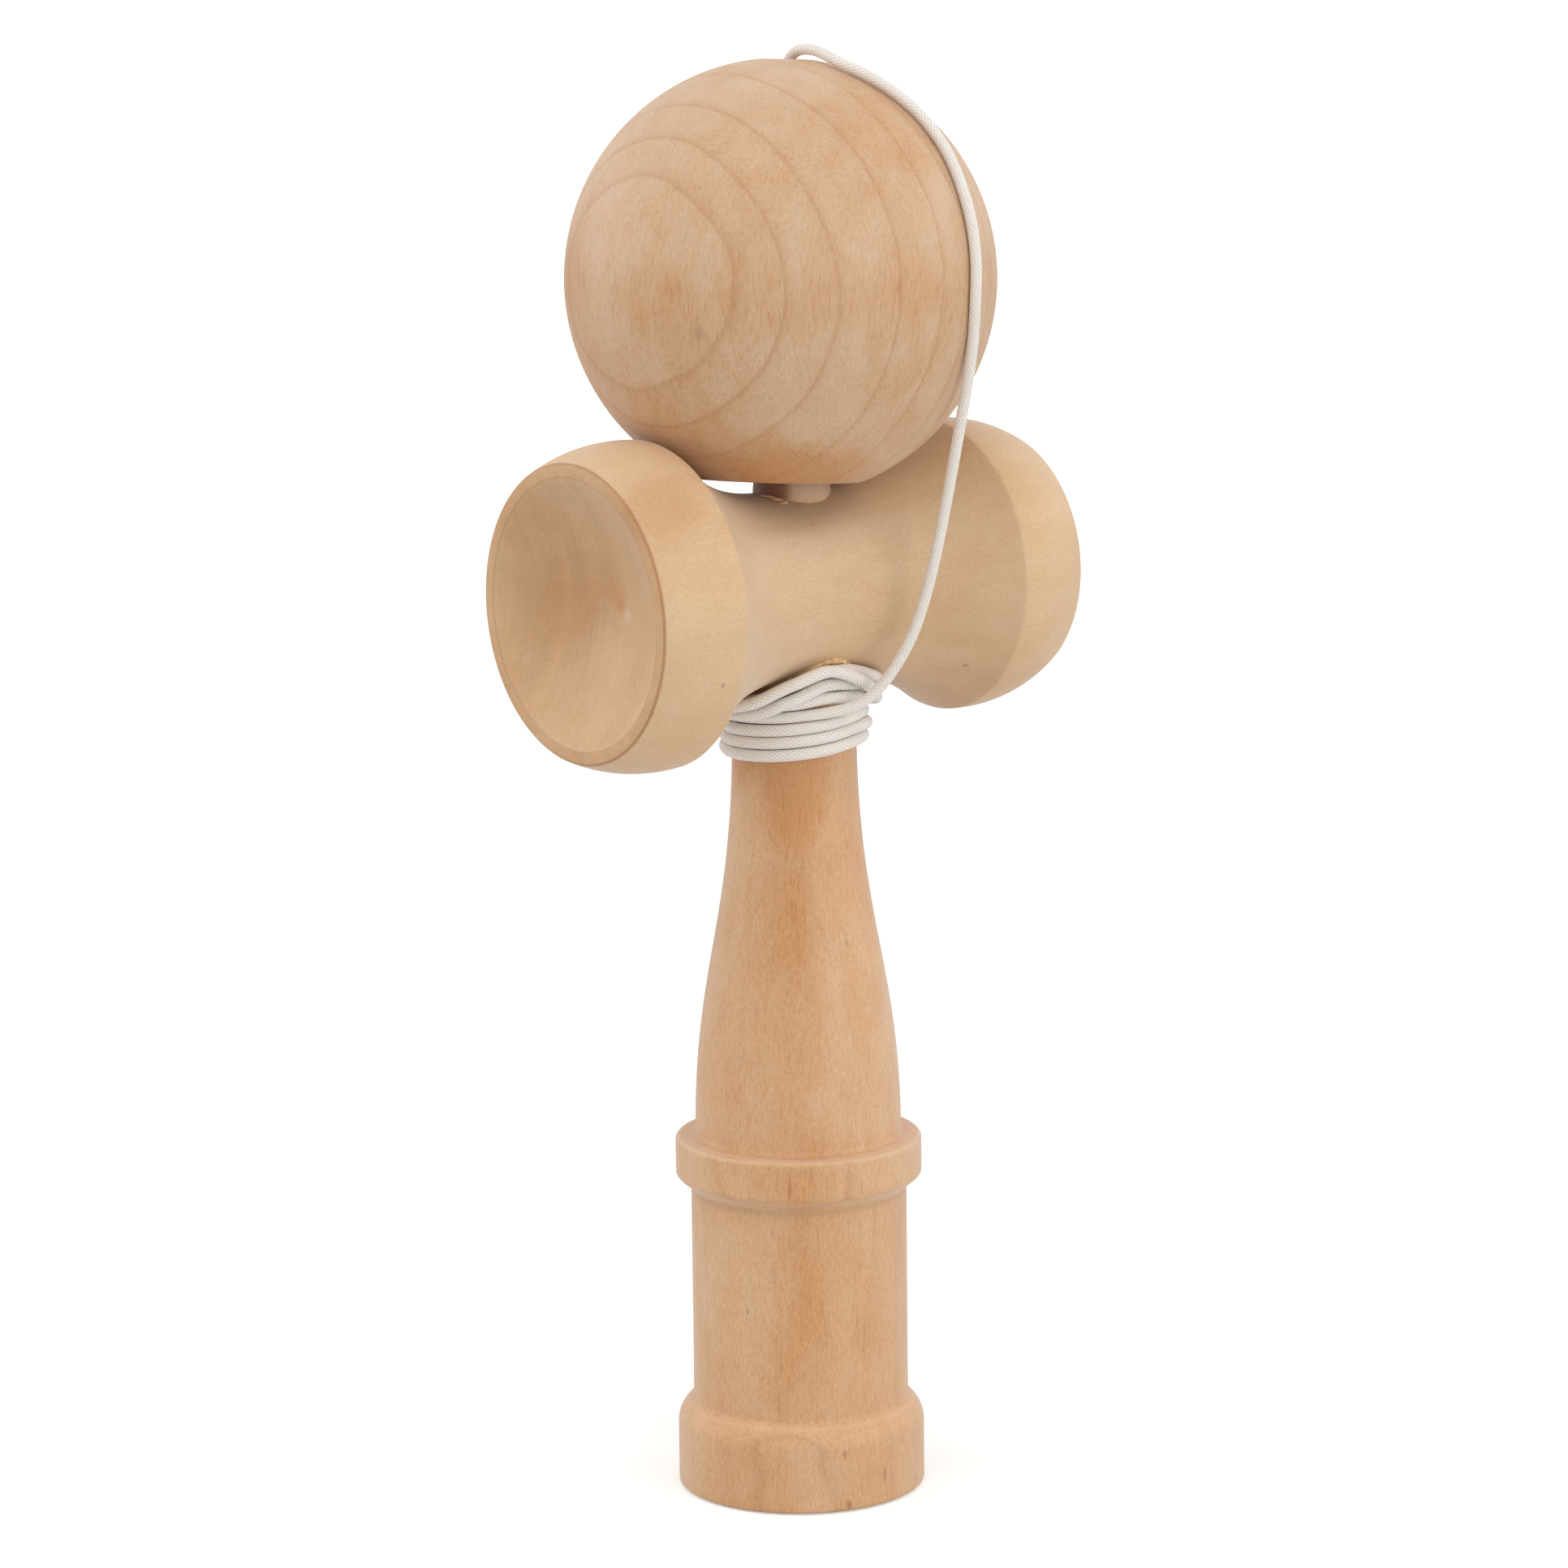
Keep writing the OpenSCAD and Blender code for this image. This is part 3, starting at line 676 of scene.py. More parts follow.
def cutStringHole(target, s):
    # a long thin turned cutter with a flare where it meets the back
    flare = s["flare"] + np.array([0, crossBack])
    line = np.concatenate([[[0, s["foot"]], [s["radius"], s["foot"]]], flare, [[0, flare[-1, 1]]]])
    cutter = turnedPiece("string_hole_cutter", line, s["around"], axisPlace((0, 0, crossHeight), (0, 1, 0)))
    cut = target.modifiers.new("stringHole", "BOOLEAN")
    cut.operation = "DIFFERENCE"
    cut.solver = "EXACT"
    cut.object = cutter
    bpy.context.view_layer.update()
    graph = bpy.context.evaluated_depsgraph_get()
    made = bpy.data.meshes.new_from_object(target.evaluated_get(graph))
    old = target.data
    target.modifiers.clear()
    target.data = made
    made.name = old.name
    bpy.data.meshes.remove(old)
    scrap = cutter.data
    bpy.data.objects.remove(cutter)
    bpy.data.meshes.remove(scrap)


cutStringHole(crossPiece, holeSizes)
print("string hole cut")


# node helpers for the materials and the surroundings
class NodeBook:
    def __init__(self, owner, output="ShaderNodeOutputMaterial"):
        owner.use_nodes = True
        self.owner = owner
        self.tree = owner.node_tree
        self.tree.nodes.clear()
        self.output = self.node(output)

    def put(self, socket, value):
        if isinstance(value, bpy.types.NodeSocket):
            self.tree.links.new(value, socket)
        elif value is not None:
            socket.default_value = value

    def node(self, kind, inputs=None, **settings):
        made = self.tree.nodes.new(kind)
        for key, value in settings.items():
            setattr(made, key, value)
        for key, value in (inputs or {}).items():
            self.put(made.inputs[key], value)
        return made

    def maths(self, operation, *values):
        return self.node("ShaderNodeMath", dict(enumerate(values)), operation=operation).outputs[0]

    def vector(self, operation, *values):
        made = self.node("ShaderNodeVectorMath", dict(enumerate(values)), operation=operation)
        return made.outputs["Value" if operation in ("LENGTH", "DOT_PRODUCT") else "Vector"]

    def scaled(self, colour, amount):
        # a colour made brighter or darker by one amount
        return self.node("ShaderNodeVectorMath", {0: colour, "Scale": amount}, operation="SCALE").outputs[0]

    def place(self):
        return self.node("ShaderNodeTexCoord").outputs["Object"]

    def noise(self, where, scale, detail, rough):
        made = self.node("ShaderNodeTexNoise", {"Vector": where, "Scale": scale, "Detail": detail,
                                                "Roughness": rough})
        return made.outputs["Fac"]

    def stretched(self, where, along, scale, detail, rough):
        # noise drawn out along the pattern's own z
        return self.noise(self.vector("MULTIPLY", where, (1, 1, along)), scale, detail, rough)

    def ramp(self, factor, stops):
        # stops are made one by one in rising order, because moving a stop sorts the row again
        made = self.node("ShaderNodeValToRGB", {"Fac": factor})
        row = made.color_ramp.elements
        row.remove(row[1])
        row[0].position = stops[0][0]
        row[0].color = stops[0][1]
        for at, colour in stops[1:]:
            row.new(at).color = colour
        return made.outputs["Color"]

    def rise(self, value, low, high):
        # 0 at low, 1 at high, eased between; low may be the greater of the two
        made = self.node("ShaderNodeMapRange", {"Value": value, "From Min": low, "From Max": high},
                         interpolation_type="SMOOTHSTEP")
        return made.outputs[0]

    def near(self, value, middle, reach, full=0.0):
        # 1 within full of the middle, eased to 0 at the reach
        return self.rise(self.maths("ABSOLUTE", self.maths("SUBTRACT", value, middle)), reach, full)

    def sway(self, pattern, depth, base):
        # a base that a pattern of 0 to 1 moves up or down by as much as half the depth
        return self.maths("MULTIPLY_ADD", self.maths("SUBTRACT", pattern, 0.5), depth, base)

    def mix(self, factor, a, b):
        made = self.node("ShaderNodeMix", data_type="RGBA")
        for key, value in (("Factor_Float", factor), ("A_Color", a), ("B_Color", b)):
            socket = next(s for s in made.inputs if s.identifier == key)
            self.put(socket, value)
        return next(s for s in made.outputs if s.identifier == "Result_Color")

    def stain(self, colour, tone, mask, depth):
        # a tone laid over a colour where the mask is 1, as strong as the depth
        return self.mix(self.maths("MULTIPLY", mask, depth), colour, tone)

    def blob(self, where, place, half):
        # 1 at a place in millimetres, fading to 0 on the ellipsoid with these half sizes
        away = self.vector("SUBTRACT", where, tuple(float(p) * mm for p in place))
        shrunk = self.vector("MULTIPLY", away, tuple(1 / (h * mm) for h in half))
        return self.rise(self.vector("LENGTH", shrunk), 1.0, 0.1)

    def bump(self, height, strength, distance):
        made = self.node("ShaderNodeBump", {"Strength": strength, "Distance": distance, "Height": height})
        return made.outputs[0]

    def show(self, kind, inputs):
        # the last shader, joined to the output; hands back the finished material or world
        self.put(self.output.inputs["Surface"], self.node(kind, inputs).outputs[0])
        return self.owner


def paint(red, green, blue):
    # a colour as it looks on screen, 0 to 255, made linear for the shader
    c = np.array([red, green, blue], float) / 255
    return (*np.where(c <= 0.04045, c / 12.92, ((c + 0.055) / 1.055) ** 2.4).tolist(), 1.0)


def grey(value):
    return (value, value, value, 1.0)


def growthLines(book, placed, s):
    # layers are cylinders round the pith, bent by slow noise; each darkens slowly and ends in a thin line
    bendNoise = book.node("ShaderNodeTexNoise", {"Vector": placed, "Scale": s["bendScale"], "Detail": 2.0})
    bend = book.vector("SUBTRACT", bendNoise.outputs["Color"], (0.5, 0.5, 0.5))
    bent = book.vector("ADD", placed, book.vector("MULTIPLY", bend, (s["bend"] * mm, s["bend"] * mm, 0)))
    reach = book.vector("LENGTH", book.vector("MULTIPLY", bent, (1, 1, s["taper"])))
    near, far = s["layers"][0] - s["layerRoom"], s["layers"][-1] + s["layerRoom"]
    share = book.maths("DIVIDE", book.maths("SUBTRACT", reach, near * mm), (far - near) * mm)
    late, thin = s["lateWood"] / (far - near), s["lineWidth"] / (far - near)
    stops = [(0.0, grey(0.0))]
    for at, strength in zip(s["layers"], s["layerStrength"]):
        middle = (at - near) / (far - near)
        stops += [(middle - late, grey(0.0)), (middle - thin, grey(s["lateTone"] * strength)),
                  (middle, grey(strength)), (middle + 0.5 * thin, grey(0.0))]
    return book.ramp(share, stops)


def woodMaterial(name, s, tint=None):
    # pale diffuse-porous hardwood: slow warm and pale clouds, growth lines, fine speckle, short orange
    # dashes along the grain where it is warm, a few dark dots, and the marks of this piece, some of them
    # painted shade and highlights
    book = NodeBook(bpy.data.materials.new(name))
    where = book.place()
    # turn the pattern so that its own z runs along the grain, with the pith at the origin
    turn = Vector(s["grain"]).normalized().to_track_quat("Z", "Y").to_matrix().inverted()
    shift = turn @ (Vector(s["pith"]) * mm)
    mapping = {"Vector": where, "Location": -shift, "Rotation": turn.to_euler("XYZ")}
    placed = book.node("ShaderNodeMapping", mapping, vector_type="POINT").outputs[0]
    patterns = ("cloudNoise", "mottleNoise", "streakNoise", "speckleNoise", "dashNoise")
    cloud, mottle, streak, speckle, dashes = (book.stretched(placed, *s[key]) for key in patterns)
    cloud = book.sway(mottle, s["mottleDepth"], book.sway(cloud, s["cloudDepth"], 0.5))
    for place, half, amount in s["warmPlaces"]:
        cloud = book.maths("MULTIPLY_ADD", book.blob(where, place, half), amount, cloud)
    warmth = book.maths("MULTIPLY_ADD", book.rise(cloud, *s["dashWarm"]), 1 - s["dashCold"], s["dashCold"])
    dash = book.maths("MULTIPLY", book.rise(dashes, *s["dashEdge"]), warmth)
    # colour from the clouds, then layer lines and dashes
    colour = book.ramp(cloud, list(zip(s["cloudStops"], (s["pale"], s["middle"], s["warm"]))))
    colour = book.stain(colour, s["lineTone"], growthLines(book, placed, s), s["lineDepth"])
    colour = book.stain(colour, s["dashTone"], dash, s["dashDepth"])
    # dark specks and streaks lose blue first, so they turn orange and not grey
    shade = book.sway(speckle, s["speckleDepth"], book.sway(streak, s["streakDepth"], 0.0))
    shades = book.vector("ADD", book.scaled(s["shadeBalance"], shade), (1, 1, 1))
    colour = book.vector("MULTIPLY", colour, shades)
    # dots: one near the middle of each rare cell
    celled = book.vector("MULTIPLY", placed, (1, 1, s["dotStretch"]))
    cell = book.node("ShaderNodeTexVoronoi", {"Vector": celled, "Scale": s["dotScale"]}).outputs
    keep = book.node("ShaderNodeSeparateColor", {"Color": cell["Color"]}).outputs[0]
    dot = book.maths("MULTIPLY", book.rise(cell["Distance"], *s["dotEdge"]),
                     book.maths("GREATER_THAN", keep, s["dotRare"]))
    colour = book.stain(colour, s["dotTone"], dot, s["dotDepth"])
    # the piece's own tones and marks, some of them painted shade and highlights
    if tint:
        colour = tint(book, where, colour)
    for place, half, tone, depth in s["marks"]:
        colour = book.stain(colour, tone, book.blob(where, place, half), depth)
    colour = book.scaled(colour, s["level"])
    # relief: lathe rings along the turning axis, raised speckle, sunk dashes and dots
    turned = book.vector("DOT_PRODUCT", where, tuple(Vector(s["latheAxis"]).normalized()))
    rings = book.noise(book.node("ShaderNodeCombineXYZ", {"X": turned}).outputs[0], *s["latheNoise"])
    height = book.maths("MULTIPLY", rings, s["latheDepth"])
    for pattern, amount in zip((speckle, dash, dot), s["relief"]):
        height = book.maths("MULTIPLY_ADD", pattern, amount, height)
    rough = book.sway(streak, s["streakRough"], s["roughness"])
    rough = book.maths("MULTIPLY_ADD", dash, s["dashRough"], rough)
    return book.show("ShaderNodeBsdfPrincipled", {
        "Base Color": colour, "Roughness": rough, "Normal": book.bump(height, *s["bump"]),
        "Specular IOR Level": s["gloss"], "Sheen Weight": s["sheen"], "Sheen Roughness": s["sheenRough"]})


# bare turned wood; every piece changes its colours, its growth lines and its marks; a noise has its
# stretch along the grain, scale, detail and roughness, and an edge has where it starts and where it is full
bareWood = {
    "bendScale": 24.0, "bend": 5.0, "taper": 0.04, "layerRoom": 6.0,
    "lateWood": 1.6, "lateTone": 0.24, "lineWidth": 0.4, "lineDepth": 0.3, "layerStrength": [1.0] * 7,
    "cloudNoise": (0.5, 62.0, 3.0, 0.55), "cloudDepth": 0.6, "cloudStops": (0.32, 0.5, 0.68),
    "mottleNoise": (0.45, 330.0, 3.0, 0.6), "mottleDepth": 0.24,
    "streakNoise": (0.06, 420.0, 3.0, 0.55), "streakDepth": 0.12, "streakRough": 0.25,
    "speckleNoise": (0.32, 3700.0, 2.0, 0.7), "speckleDepth": 0.66,
    "shadeBalance": (0.72, 1.0, 1.4),
    "dashNoise": (0.12, 2500.0, 1.5, 0.5), "dashEdge": (0.53, 0.68), "dashDepth": 0.4, "dashRough": 0.08,
    "dashWarm": (0.42, 0.68), "dashCold": 0.2,    # clouds that bring dashes out, share left without them
    "dotStretch": 0.4, "dotScale": 420.0, "dotEdge": (0.16, 0.06), "dotRare": 0.965, "dotDepth": 0.4,
    "latheNoise": (2400.0, 2.0, 0.6), "latheDepth": 0.3,
    "relief": (0.4, -0.35, -0.8),                 # of speckle, dashes and dots
    "bump": (0.5, 0.00005),                       # strength, height in metres
    "roughness": 0.5, "gloss": 0.45, "sheen": 0.2, "sheenRough": 0.45,
    "warmPlaces": [], "marks": [], "level": 0.885,
    "pale": paint(232, 200, 167), "middle": paint(223, 184, 146), "warm": paint(212, 163, 116),
    "lineTone": paint(188, 128, 80), "dashTone": paint(198, 134, 78), "dotTone": paint(140, 92, 58),
}

handleWood = dict(
    bareWood, grain=(0.02, 0.01, 1.0), pith=(52.0, 46.8, 12.0), latheAxis=(0, 0, 1),
    layers=[54.5, 60.0, 65.5, 71.0, 76.5, 81.5, 86.7], layerStrength=[0.35] * 6 + [1.0],
    sheen=0.42, lateWood=0.9,
    pale=paint(236, 197, 156), middle=paint(229, 180, 132), warm=paint(219, 158, 102),
    cloudDepth=0.5, mottleDepth=0.18, dashTone=paint(206, 138, 80), dashDepth=0.46,
    warmPlaces=[   # place, half sizes in millimetres, how much warmer
        ((-9.5, -12.0, 26.0), (7, 7, 20), 0.16),
        ((-6.5, -7.8, 92.0), (7, 7, 34), 0.16),
        ((-11.0, -12.0, 47.5), (11, 9, 5), 0.07),
        # the next two: warmer and darker on the neck under the winding, partly the wood's tone and partly
        # painted shade
        ((-5.5, -6.8, 106.0), (8, 8, 15), 0.28),
        ((-8.5, 1.5, 109.0), (6, 6, 10), 0.4),
    ],
    marks=[        # place, half sizes in millimetres, colour, depth
        ((-14.0, -6.0, 28.5), (0.32, 0.32, 0.8), paint(150, 100, 66), 0.6),
        ((0.0, -11.4, 80.3), (0.35, 0.35, 0.7), paint(158, 110, 74), 0.5),
        ((-11.65, -12.9, 47.2), (0.38, 0.38, 2.8), paint(188, 116, 66), 0.7),
        ((-2.3, -17.25, 47.0), (0.35, 0.35, 1.9), paint(186, 124, 76), 0.28),
        ((-5.3, -16.7, 8.5), (0.4, 0.4, 1.0), paint(172, 104, 58), 0.6),
        ((1.25, -17.4, 4.3), (0.5, 0.5, 1.5), paint(176, 106, 58), 0.6),
        ((-4.7, -16.7, 1.0), (0.7, 0.7, 1.2), paint(176, 98, 50), 0.7),
    ],
)
crossWood = dict(
    bareWood, grain=(1.0, 0.03, 0.02), pith=(0.0, -24.0, 133.0), latheAxis=(1, 0, 0),
    layers=[6.0, 11.0, 16.0, 21.5, 27.0, 33.0, 40.0], lineDepth=0.06, lateWood=2.6, bend=3.0,
    speckleDepth=0.4, dashDepth=0.07, streakDepth=0.07, cloudDepth=0.45, mottleDepth=0.16,
    pale=paint(238, 210, 179), middle=paint(232, 198, 160), warm=paint(221, 179, 136),
    warmPlaces=[
        ((-34.0, -14.5, 145.5), (9, 9, 7), 0.17),
        ((-33.0, 8.0, 129.5), (15, 15, 11), 0.19),
        ((16.0, -14.0, 130.0), (10, 8, 12), 0.08),
    ],
    marks=[
        ((-29.5, 0.5, 131.0), (2.9, 2.9, 3.9), paint(210, 146, 84), 0.45),
        ((-29.5, 0.2, 130.0), (1.3, 1.3, 1.5), paint(212, 138, 72), 0.45),
        # painted highlight on a chip in the big bowl
        ((-29.6, -1.5, 128.7), (1.2, 1.2, 1.3), paint(236, 212, 184), 0.5),
        ((-28.6, -21.4, 121.7), (0.5, 0.5, 0.5), paint(150, 100, 64), 0.55),
        ((20.5, -12.8, 117.3), (0.8, 0.45, 0.45), paint(146, 98, 64), 0.6),
        ((-3.2, -8.8, 139.4), (0.28, 0.28, 0.28), paint(140, 96, 66), 0.5),
        # painted shadow of the ball on the saddle
        ((-2.0, -7.0, 141.0), (13, 7.5, 4.5), paint(164, 120, 86), 0.3),
    ],
)
ballWood = dict(
    bareWood, grain=(0.065, 0.02, 1.0), pith=(77.0, 14.0, 172.3), latheAxis=tuple(ballAxis),
    layers=[73.0, 79.5, 85.0, 91.5, 98.3, 102.6, 105.9], lineDepth=0.38, lateWood=1.2, cloudDepth=0.4,
    speckleNoise=(0.2, 3700.0, 2.0, 0.7), speckleDepth=0.54, sheen=0.1, dotDepth=0.2, level=0.87,
    warm=paint(214, 159, 107),
    warmPlaces=[
        (ballCentre + [0, 0, 0.5], (44, 44, 9), 0.09),
        ((-30.3, -8.5, 172.6), (11, 11, 8), 0.09),
        ((-28.0, 9.0, 173.0), (14, 14, 20), 0.1),
        ((-13.5, -27.0, 173.0), (12, 9, 8), 0.05),
        # warmer and darker low on the ball, partly the wood's tone and partly painted shade
        ((-12.0, -16.0, 147.0), (15, 15, 10), 0.32),
        ((-10.0, -8.0, 199.0), (26, 24, 13), -0.03),
        ((0.5, -20.0, 193.0), (15, 15, 14), 0.13),
    ],
    marks=[((-27.3, -15.0, 168.3), (1.3, 1.3, 1.6), paint(150, 122, 98), 0.35)],
)
beadWood = dict(
    bareWood, grain=(0.1, 0.0, 1.0), pith=(20.0, 30.0, 0.0), latheAxis=tuple(ballAxis),
    layers=[30.0, 33.0, 36.0, 39.0],
)


# tones of the cross piece; fades and edges are in millimetres, where they start and where they are full
crossTints = {
    "along": [   # millimetres along the cross piece, what the wood is multiplied by
        (-37.7, (1.00, 0.96, 0.87)), (-25.4, (0.99, 0.95, 0.86)), (-25.0, (0.96, 0.95, 0.92)),
        (-12.0, (1.00, 0.99, 0.96)), (2.0, (1.00, 0.98, 0.93)), (14.0, (0.95, 0.92, 0.86)),
        (25.0, (0.90, 0.85, 0.79)), (25.4, (1.00, 0.96, 0.87)), (37.7, (1.00, 0.96, 0.88)),
    ],
    "alongSpan": 80.0,
    "bowl": (0.92, 0.865, 0.835),
    "bowlFade": (9.2, 8.7),      # in from the end
    "bowlEdge": (0.1, 0.0),      # out from the mouth
    "bowlGrain": [               # squeeze of space, noise, depth
        ((0.05, 1, 0.05), (1000.0, 4.0, 0.65), 0.25),
        ((0.05, 1, 0.06), (330.0, 2.0, 0.6), 0.17),
    ],
    "land": (0.86, 0.735, 0.615),
    "landFade": (0.4, 0.1),      # in from the end
    "landEdge": (0.02, 0.12),    # out from the mouth
    "landNoise": (420.0, 3.0, 0.6),
    "landMottle": 0.3,
    "dark": paint(168, 112, 64),
    "edgeFade": (0.4, 0.2),      # in from the end
    "edgeLine": (-0.3, -0.08),   # out from the rim
    "edgeDepth": 0.5,
    "lipLine": (0.08, 0.26, 0.04),   # middle, out from the mouth, and the widths where it ends and is full
    "lipDepth": 0.24,
}


def crossTint(book, where, colour):
    # yellower bands, paler waist and pinker flare along the axis; at each end a greyer bowl with grain
    # across it, a browner mottled rim, and dark lines on the outer edge and the inner lip of the rim, told
    # apart by the distance from the axis
    s = crossTints
    x, y, z = book.node("ShaderNodeSeparateXYZ", {"Vector": where}).outputs
    up = book.maths("SUBTRACT", z, crossHeight * mm)
    square = book.node("ShaderNodeCombineXYZ", {"Y": y, "Z": up}).outputs[0]
    out = book.maths("DIVIDE", book.vector("LENGTH", square), mm)
    share = book.maths("MULTIPLY_ADD", x, 1 / (s["alongSpan"] * mm), 0.5)
    stops = [(at / s["alongSpan"] + 0.5, (*tone, 1.0)) for at, tone in s["along"]]
    colour = book.vector("MULTIPLY", colour, book.ramp(share, stops))
    # grain across the bowls: upright sheets of tone, which the hollow bends into arcs
    grained = 1.0
    for squeeze, noise, depth in s["bowlGrain"]:
        grained = book.sway(book.noise(book.vector("MULTIPLY", where, squeeze), *noise), depth, grained)
    mottled = book.sway(book.noise(where, *s["landNoise"]), s["landMottle"], 1.0)
    for side, cup in ((-1, "bigCup"), (1, "smallCup")):
        rim = crossRim(side)
        mouth = rim - crossSizes[cup][0]
        inward = book.maths("MULTIPLY_ADD", x, -side / mm, crossSizes["length"] / 2)
        beyond = book.maths("SUBTRACT", out, mouth)
        end = book.rise(inward, *s["landFade"])
        bowl = book.maths("MULTIPLY", book.rise(inward, *s["bowlFade"]), book.rise(beyond, *s["bowlEdge"]))
        land = book.maths("MULTIPLY", end, book.rise(beyond, *s["landEdge"]))
        edge = book.maths("MULTIPLY", book.rise(inward, *s["edgeFade"]),
                          book.rise(book.maths("SUBTRACT", out, rim), *s["edgeLine"]))
        lip = book.maths("MULTIPLY", end, book.near(beyond, *s["lipLine"]))
        for mask, tone, pattern in ((bowl, s["bowl"], grained), (land, s["land"], mottled)):
            tinted = book.scaled(book.vector("MULTIPLY", colour, tone), pattern)
            colour = book.mix(mask, colour, tinted)
        colour = book.stain(colour, s["dark"], edge, s["edgeDepth"])
        colour = book.stain(colour, s["dark"], lip, s["lipDepth"])
    return colour


# rings of tone on the handle, mostly painted shade and highlights: height, distance from the axis, half
# sizes, tone, depth
handleTints = [
    (50.85, 14.65, 0.5, 0.5, paint(184, 122, 70), 0.28),     # painted shade in the crease where the body meets the ring
    (50.75, 17.05, 0.4, 0.55, paint(242, 210, 174), 0.5),    # painted highlight on the top edge of the ring, with some wear
    (43.15, 15.25, 0.8, 0.6, paint(190, 152, 118), 0.35),    # painted shadow under the ring
    (11.9, 15.9, 0.6, 0.7, paint(240, 205, 166), 0.35),      # bright line on the shoulder
    (104.0, 8.9, 8.0, 1.4, paint(198, 152, 104), 0.3),       # painted shade on the neck under the winding
]
spikeTints = {
    "heights": (141.5, 142.6, 145.6, 149.0),   # mm: none, full, full, none
    "bare": paint(222, 196, 170),
    "bareDepth": 0.55,
    "side": (-0.79, 0.61, 0.0),                # towards the half of the foot given painted shade
    "sideEdge": (-0.5, 1.3),                   # mm from the axis
    # painted shade on the half of the spike's foot that the ball and the big cup keep from the light
    "stain": paint(158, 102, 72),
    "paintedShadeDepth": 0.85,
}


def handleTint(book, where, colour):
    # soft rings of tone, each at one height and one distance from the axis, most of them painted shade and
    # highlights;
    # then the foot of the spike, paler all round and with painted shade on one half
    x, y, z = book.node("ShaderNodeSeparateXYZ", {"Vector": where}).outputs
    out = book.vector("LENGTH", book.node("ShaderNodeCombineXYZ", {"X": x, "Y": y}).outputs[0])
    for height, radius, tall, wide, tone, depth in handleTints:
        level = book.near(z, height * mm, tall * mm)
        ring = book.maths("MULTIPLY", level, book.near(out, radius * mm, wide * mm))
        colour = book.stain(colour, tone, ring, depth)
    s = spikeTints
    low, full, still, high = (h * mm for h in s["heights"])
    foot = book.maths("MULTIPLY", book.rise(z, low, full), book.rise(z, high, still))
    # the half of the foot that gets the painted shade
    sideways = book.vector("DOT_PRODUCT", where, s["side"])
    half = book.maths("MULTIPLY", foot, book.rise(sideways, *(d * mm for d in s["sideEdge"])))
    colour = book.stain(colour, s["bare"], foot, s["bareDepth"])
    return book.stain(colour, s["stain"], half, s["paintedShadeDepth"])


braidSizes = {
    "strands": 9.0,          # strands round the cord, each way
    "stitch": 0.72,          # mm along the cord
    "crown": 0.5,            # power that rounds the diamonds
    # darker in the grooves and paler on the crowns of the diamonds: painted shade and highlight
    "tones": [(0.05, paint(222, 206, 190)), (0.5, paint(243, 236, 228)), (0.85, paint(249, 245, 240))],
    "soil": paint(238, 229, 218),
    "soilNoise": (160.0, 3.0, 0.5),
    "soilDepth": 0.25,
    "fuzzNoise": (5200.0, 2.0, 0.6),
    "fuzzHeight": 0.3,
    "bump": (0.8, 0.0001),   # strength, height in metres
    "roughness": (0.2, 0.66),   # share of the fuzz, base
    "finish": {"Sheen Weight": 0.3, "Sheen Roughness": 0.4, "Specular IOR Level": 0.35,
               "Subsurface Weight": 0.6, "Subsurface Scale": 0.0008, "Subsurface Radius": (0.8, 0.9, 1.0)},
}


def cordMaterial(s):
    # braid: two sets of strands wind round in opposite ways; where they cross they leave small raised
    # diamonds, with a fine line between them and fuzz all over
    book = NodeBook(bpy.data.materials.new("white_braid"))
    uv = book.node("ShaderNodeUVMap", uv_map="alongAndRound").outputs[0]
    split = book.node("ShaderNodeSeparateXYZ", {"Vector": uv}).outputs
    around = book.maths("MULTIPLY", split[0], s["strands"] * math.pi)
    along = book.maths("MULTIPLY", split[1], math.pi / s["stitch"])
    one, two = (book.maths("ABSOLUTE", book.maths("SINE", book.maths(way, around, along)))
                for way in ("ADD", "SUBTRACT"))
    diamond = book.maths("POWER", book.maths("MULTIPLY", one, two), s["crown"])
    where = book.place()
    fuzz = book.noise(where, *s["fuzzNoise"])
    # the tones follow the diamonds, a painted shade and highlight over the braid's relief
    aged = book.stain(book.ramp(diamond, s["tones"]), s["soil"], book.noise(where, *s["soilNoise"]),
                      s["soilDepth"])
    height = book.maths("MULTIPLY_ADD", fuzz, s["fuzzHeight"], diamond)
    rough = book.maths("MULTIPLY_ADD", fuzz, *s["roughness"])
    return book.show("ShaderNodeBsdfPrincipled", {
        "Base Color": aged, "Roughness": rough, "Normal": book.bump(height, *s["bump"]), **s["finish"]})


glueTones = {
    "noise": (900.0, 3.0, 0.6),
    "tones": [(0.3, paint(238, 206, 154)), (0.55, paint(226, 186, 130)), (0.75, paint(200, 150, 94))],
    "bump": (0.4, 0.0001),   # strength, height in metres
    "roughness": (0.2, 0.2),    # share of the clouds, base
    "finish": {"Coat Weight": 0.3, "Coat Roughness": 0.1},
}


def glueMaterial(s):
    # dried amber glue: clouds of tone, which also roughen and raise it
    book = NodeBook(bpy.data.materials.new("amber_glue"))
    cloud = book.noise(book.place(), *s["noise"])
    rough = book.maths("MULTIPLY_ADD", cloud, *s["roughness"])
    return book.show("ShaderNodeBsdfPrincipled", {
        "Base Color": book.ramp(cloud, s["tones"]), "Roughness": rough,
        "Normal": book.bump(cloud, *s["bump"]), **s["finish"]})


def dress(piece, material):
    piece.data.materials.clear()
    piece.data.materials.append(material)


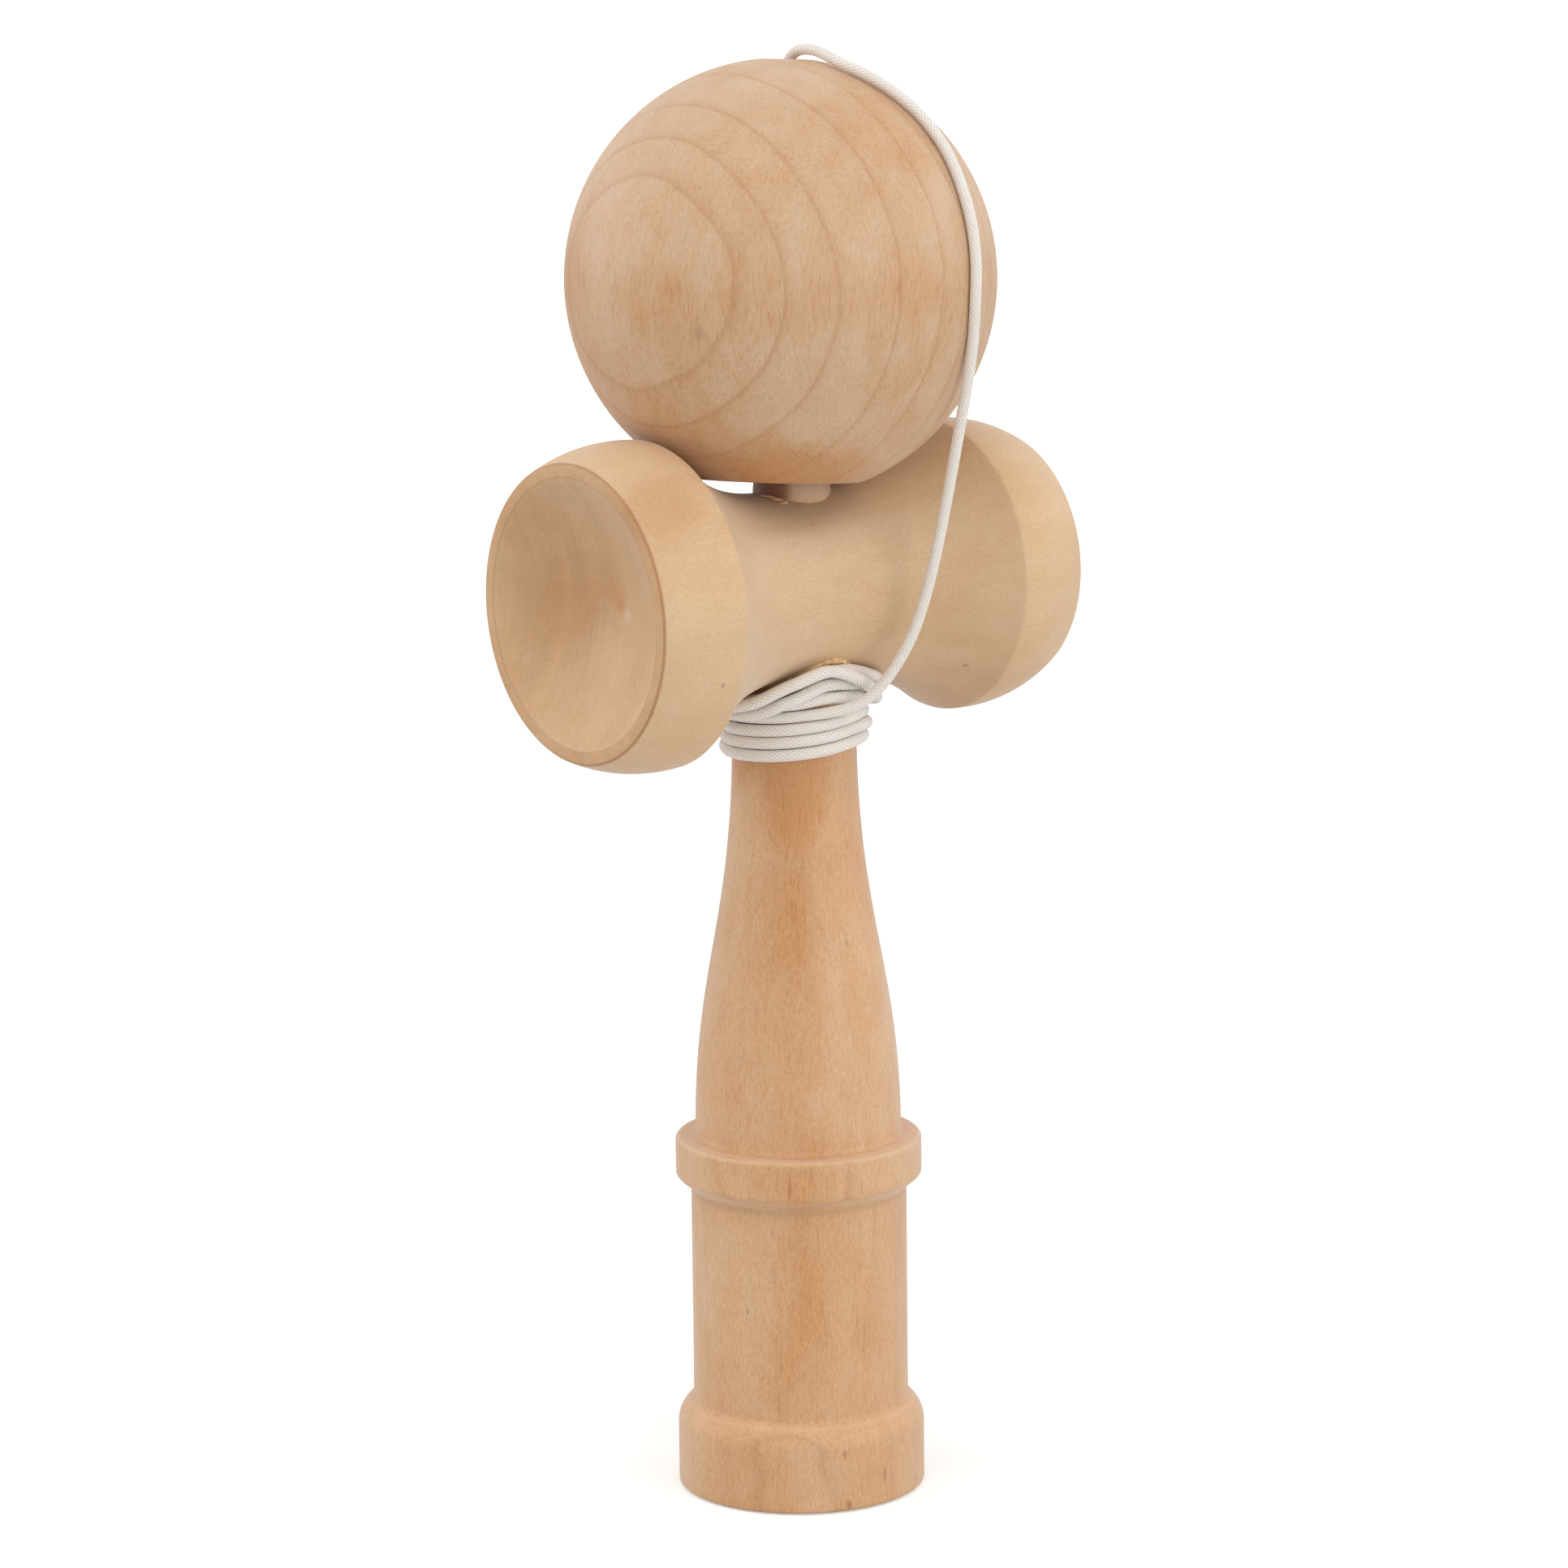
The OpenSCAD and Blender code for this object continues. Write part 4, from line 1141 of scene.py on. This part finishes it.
braid = cordMaterial(braidSizes)
fibreWood = dict(handleWood, marks=[], warmPlaces=[], lineDepth=0.0)
fibreFinish = woodMaterial("torn_fibre_grain", fibreWood)
dress(handle, woodMaterial("handle_wood_grain", handleWood, handleTint))
dress(crossPiece, woodMaterial("cross_wood_grain", crossWood, crossTint))
dress(ball, woodMaterial("ball_wood_grain", ballWood))
dress(bead, woodMaterial("bead_wood_grain", beadWood))
dress(glue, glueMaterial(glueTones))
for piece in tornFibres:
    dress(piece, fibreFinish)
for piece in (cord, beadKnot, tangKnot):
    dress(piece, braid)
print("materials made")


# what moves with what, and which solids each piece stands for
for piece, body, node in ((handle, "handle", "handle"), (crossPiece, "handle", "cross_cup"),
                          (ball, "ball", "ball"), (bead, "bead", "bead"), (beadKnot, "bead", "bead_knot"),
                          (tangKnot, "handle", "handle_knot")):
    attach(piece, body)
    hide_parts(node)
for piece in (glue, *tornFibres):
    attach(piece, "handle")
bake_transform(cord)
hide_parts("cord_winding", "cord_run", "cord_tail")
print("pieces joined to the frame")


# floor, light and white surroundings
studio = {
    "floorSize": 9.0,            # metres from the middle to a side
    "floorDrop": 0.00015,        # metres below the foot
    "paperNoise": (900.0, 2.0, 0.5),
    "paperTones": [(0.3, paint(220, 220, 220)), (0.7, paint(227, 227, 227))],
    "lift": (0.41, 0.9),         # extra white for the camera only, near the toy and far off
    "liftReach": (0.25, 1.4),    # metres
    "sky": 0.62,
    "aim": (0.0, 0.0, 0.12),     # where the lamps point, in metres
    "lamps": [                   # place in metres, size, watts
        ((-0.35, -0.25, 1.2), 0.9, 3.6),
        ((0.1, -1.0, 0.35), 0.7, 2.5),
        ((-0.75, 0.8, 0.45), 0.8, 3.0),
        ((1.03, -0.3, 0.55), 0.8, 1.8),
    ],
}


def layFloor(s):
    # white paper; what the camera sees of it gets whiter with distance
    corners = s["floorSize"] * np.array([[-1, -1, 0], [1, -1, 0], [1, 1, 0], [-1, 1, 0]])
    points = (corners - [0, 0, s["floorDrop"]]) / mm
    floor = facesToObject("studio_floor", points, np.array([[0, 1, 2, 3]]), np.zeros((0, 3), int))
    book = NodeBook(bpy.data.materials.new("white_sweep"))
    where = book.place()
    tone = book.ramp(book.noise(where, *s["paperNoise"]), s["paperTones"])
    paper = book.node("ShaderNodeBsdfDiffuse", {"Color": tone}).outputs[0]
    near, far = s["lift"]
    outward = book.rise(book.vector("LENGTH", where), *s["liftReach"])
    rising = book.maths("MULTIPLY_ADD", outward, far - near, near)
    seen = book.node("ShaderNodeLightPath").outputs["Is Camera Ray"]
    lift = book.maths("MULTIPLY", seen, rising)
    glow = book.node("ShaderNodeEmission", {"Color": grey(1.0), "Strength": lift}).outputs[0]
    floor.data.materials.append(book.show("ShaderNodeAddShader", {0: paper, 1: glow}))


def hangLamps(s):
    # round soft lamps, each turned towards the aim
    for k, (at, size, watts) in enumerate(s["lamps"]):
        data = bpy.data.lights.new("softbox%d" % k, "AREA")
        data.shape = "DISK"
        data.size = size
        data.energy = watts
        lamp = bpy.data.objects.new("softbox%d" % k, data)
        aim = Vector(s["aim"]) - Vector(at)
        lamp.matrix_world = Matrix.Translation(at) @ aim.to_track_quat("-Z", "Y").to_matrix().to_4x4()
        scene.collection.objects.link(lamp)


def whiteWorld(s):
    # even sky light; what the camera and reflections see is plain white
    book = NodeBook(bpy.data.worlds.new("white_room"), "ShaderNodeOutputWorld")
    ray = book.node("ShaderNodeLightPath").outputs
    bounced = book.maths("MAXIMUM", ray["Is Glossy Ray"], ray["Is Transmission Ray"])
    seen = book.maths("MAXIMUM", ray["Is Camera Ray"], bounced)
    level = book.maths("MULTIPLY_ADD", seen, 1 - s["sky"], s["sky"])
    scene.world = book.show("ShaderNodeBackground", {"Color": grey(1.0), "Strength": level})


layFloor(studio)
hangLamps(studio)
whiteWorld(studio)
print("studio set")
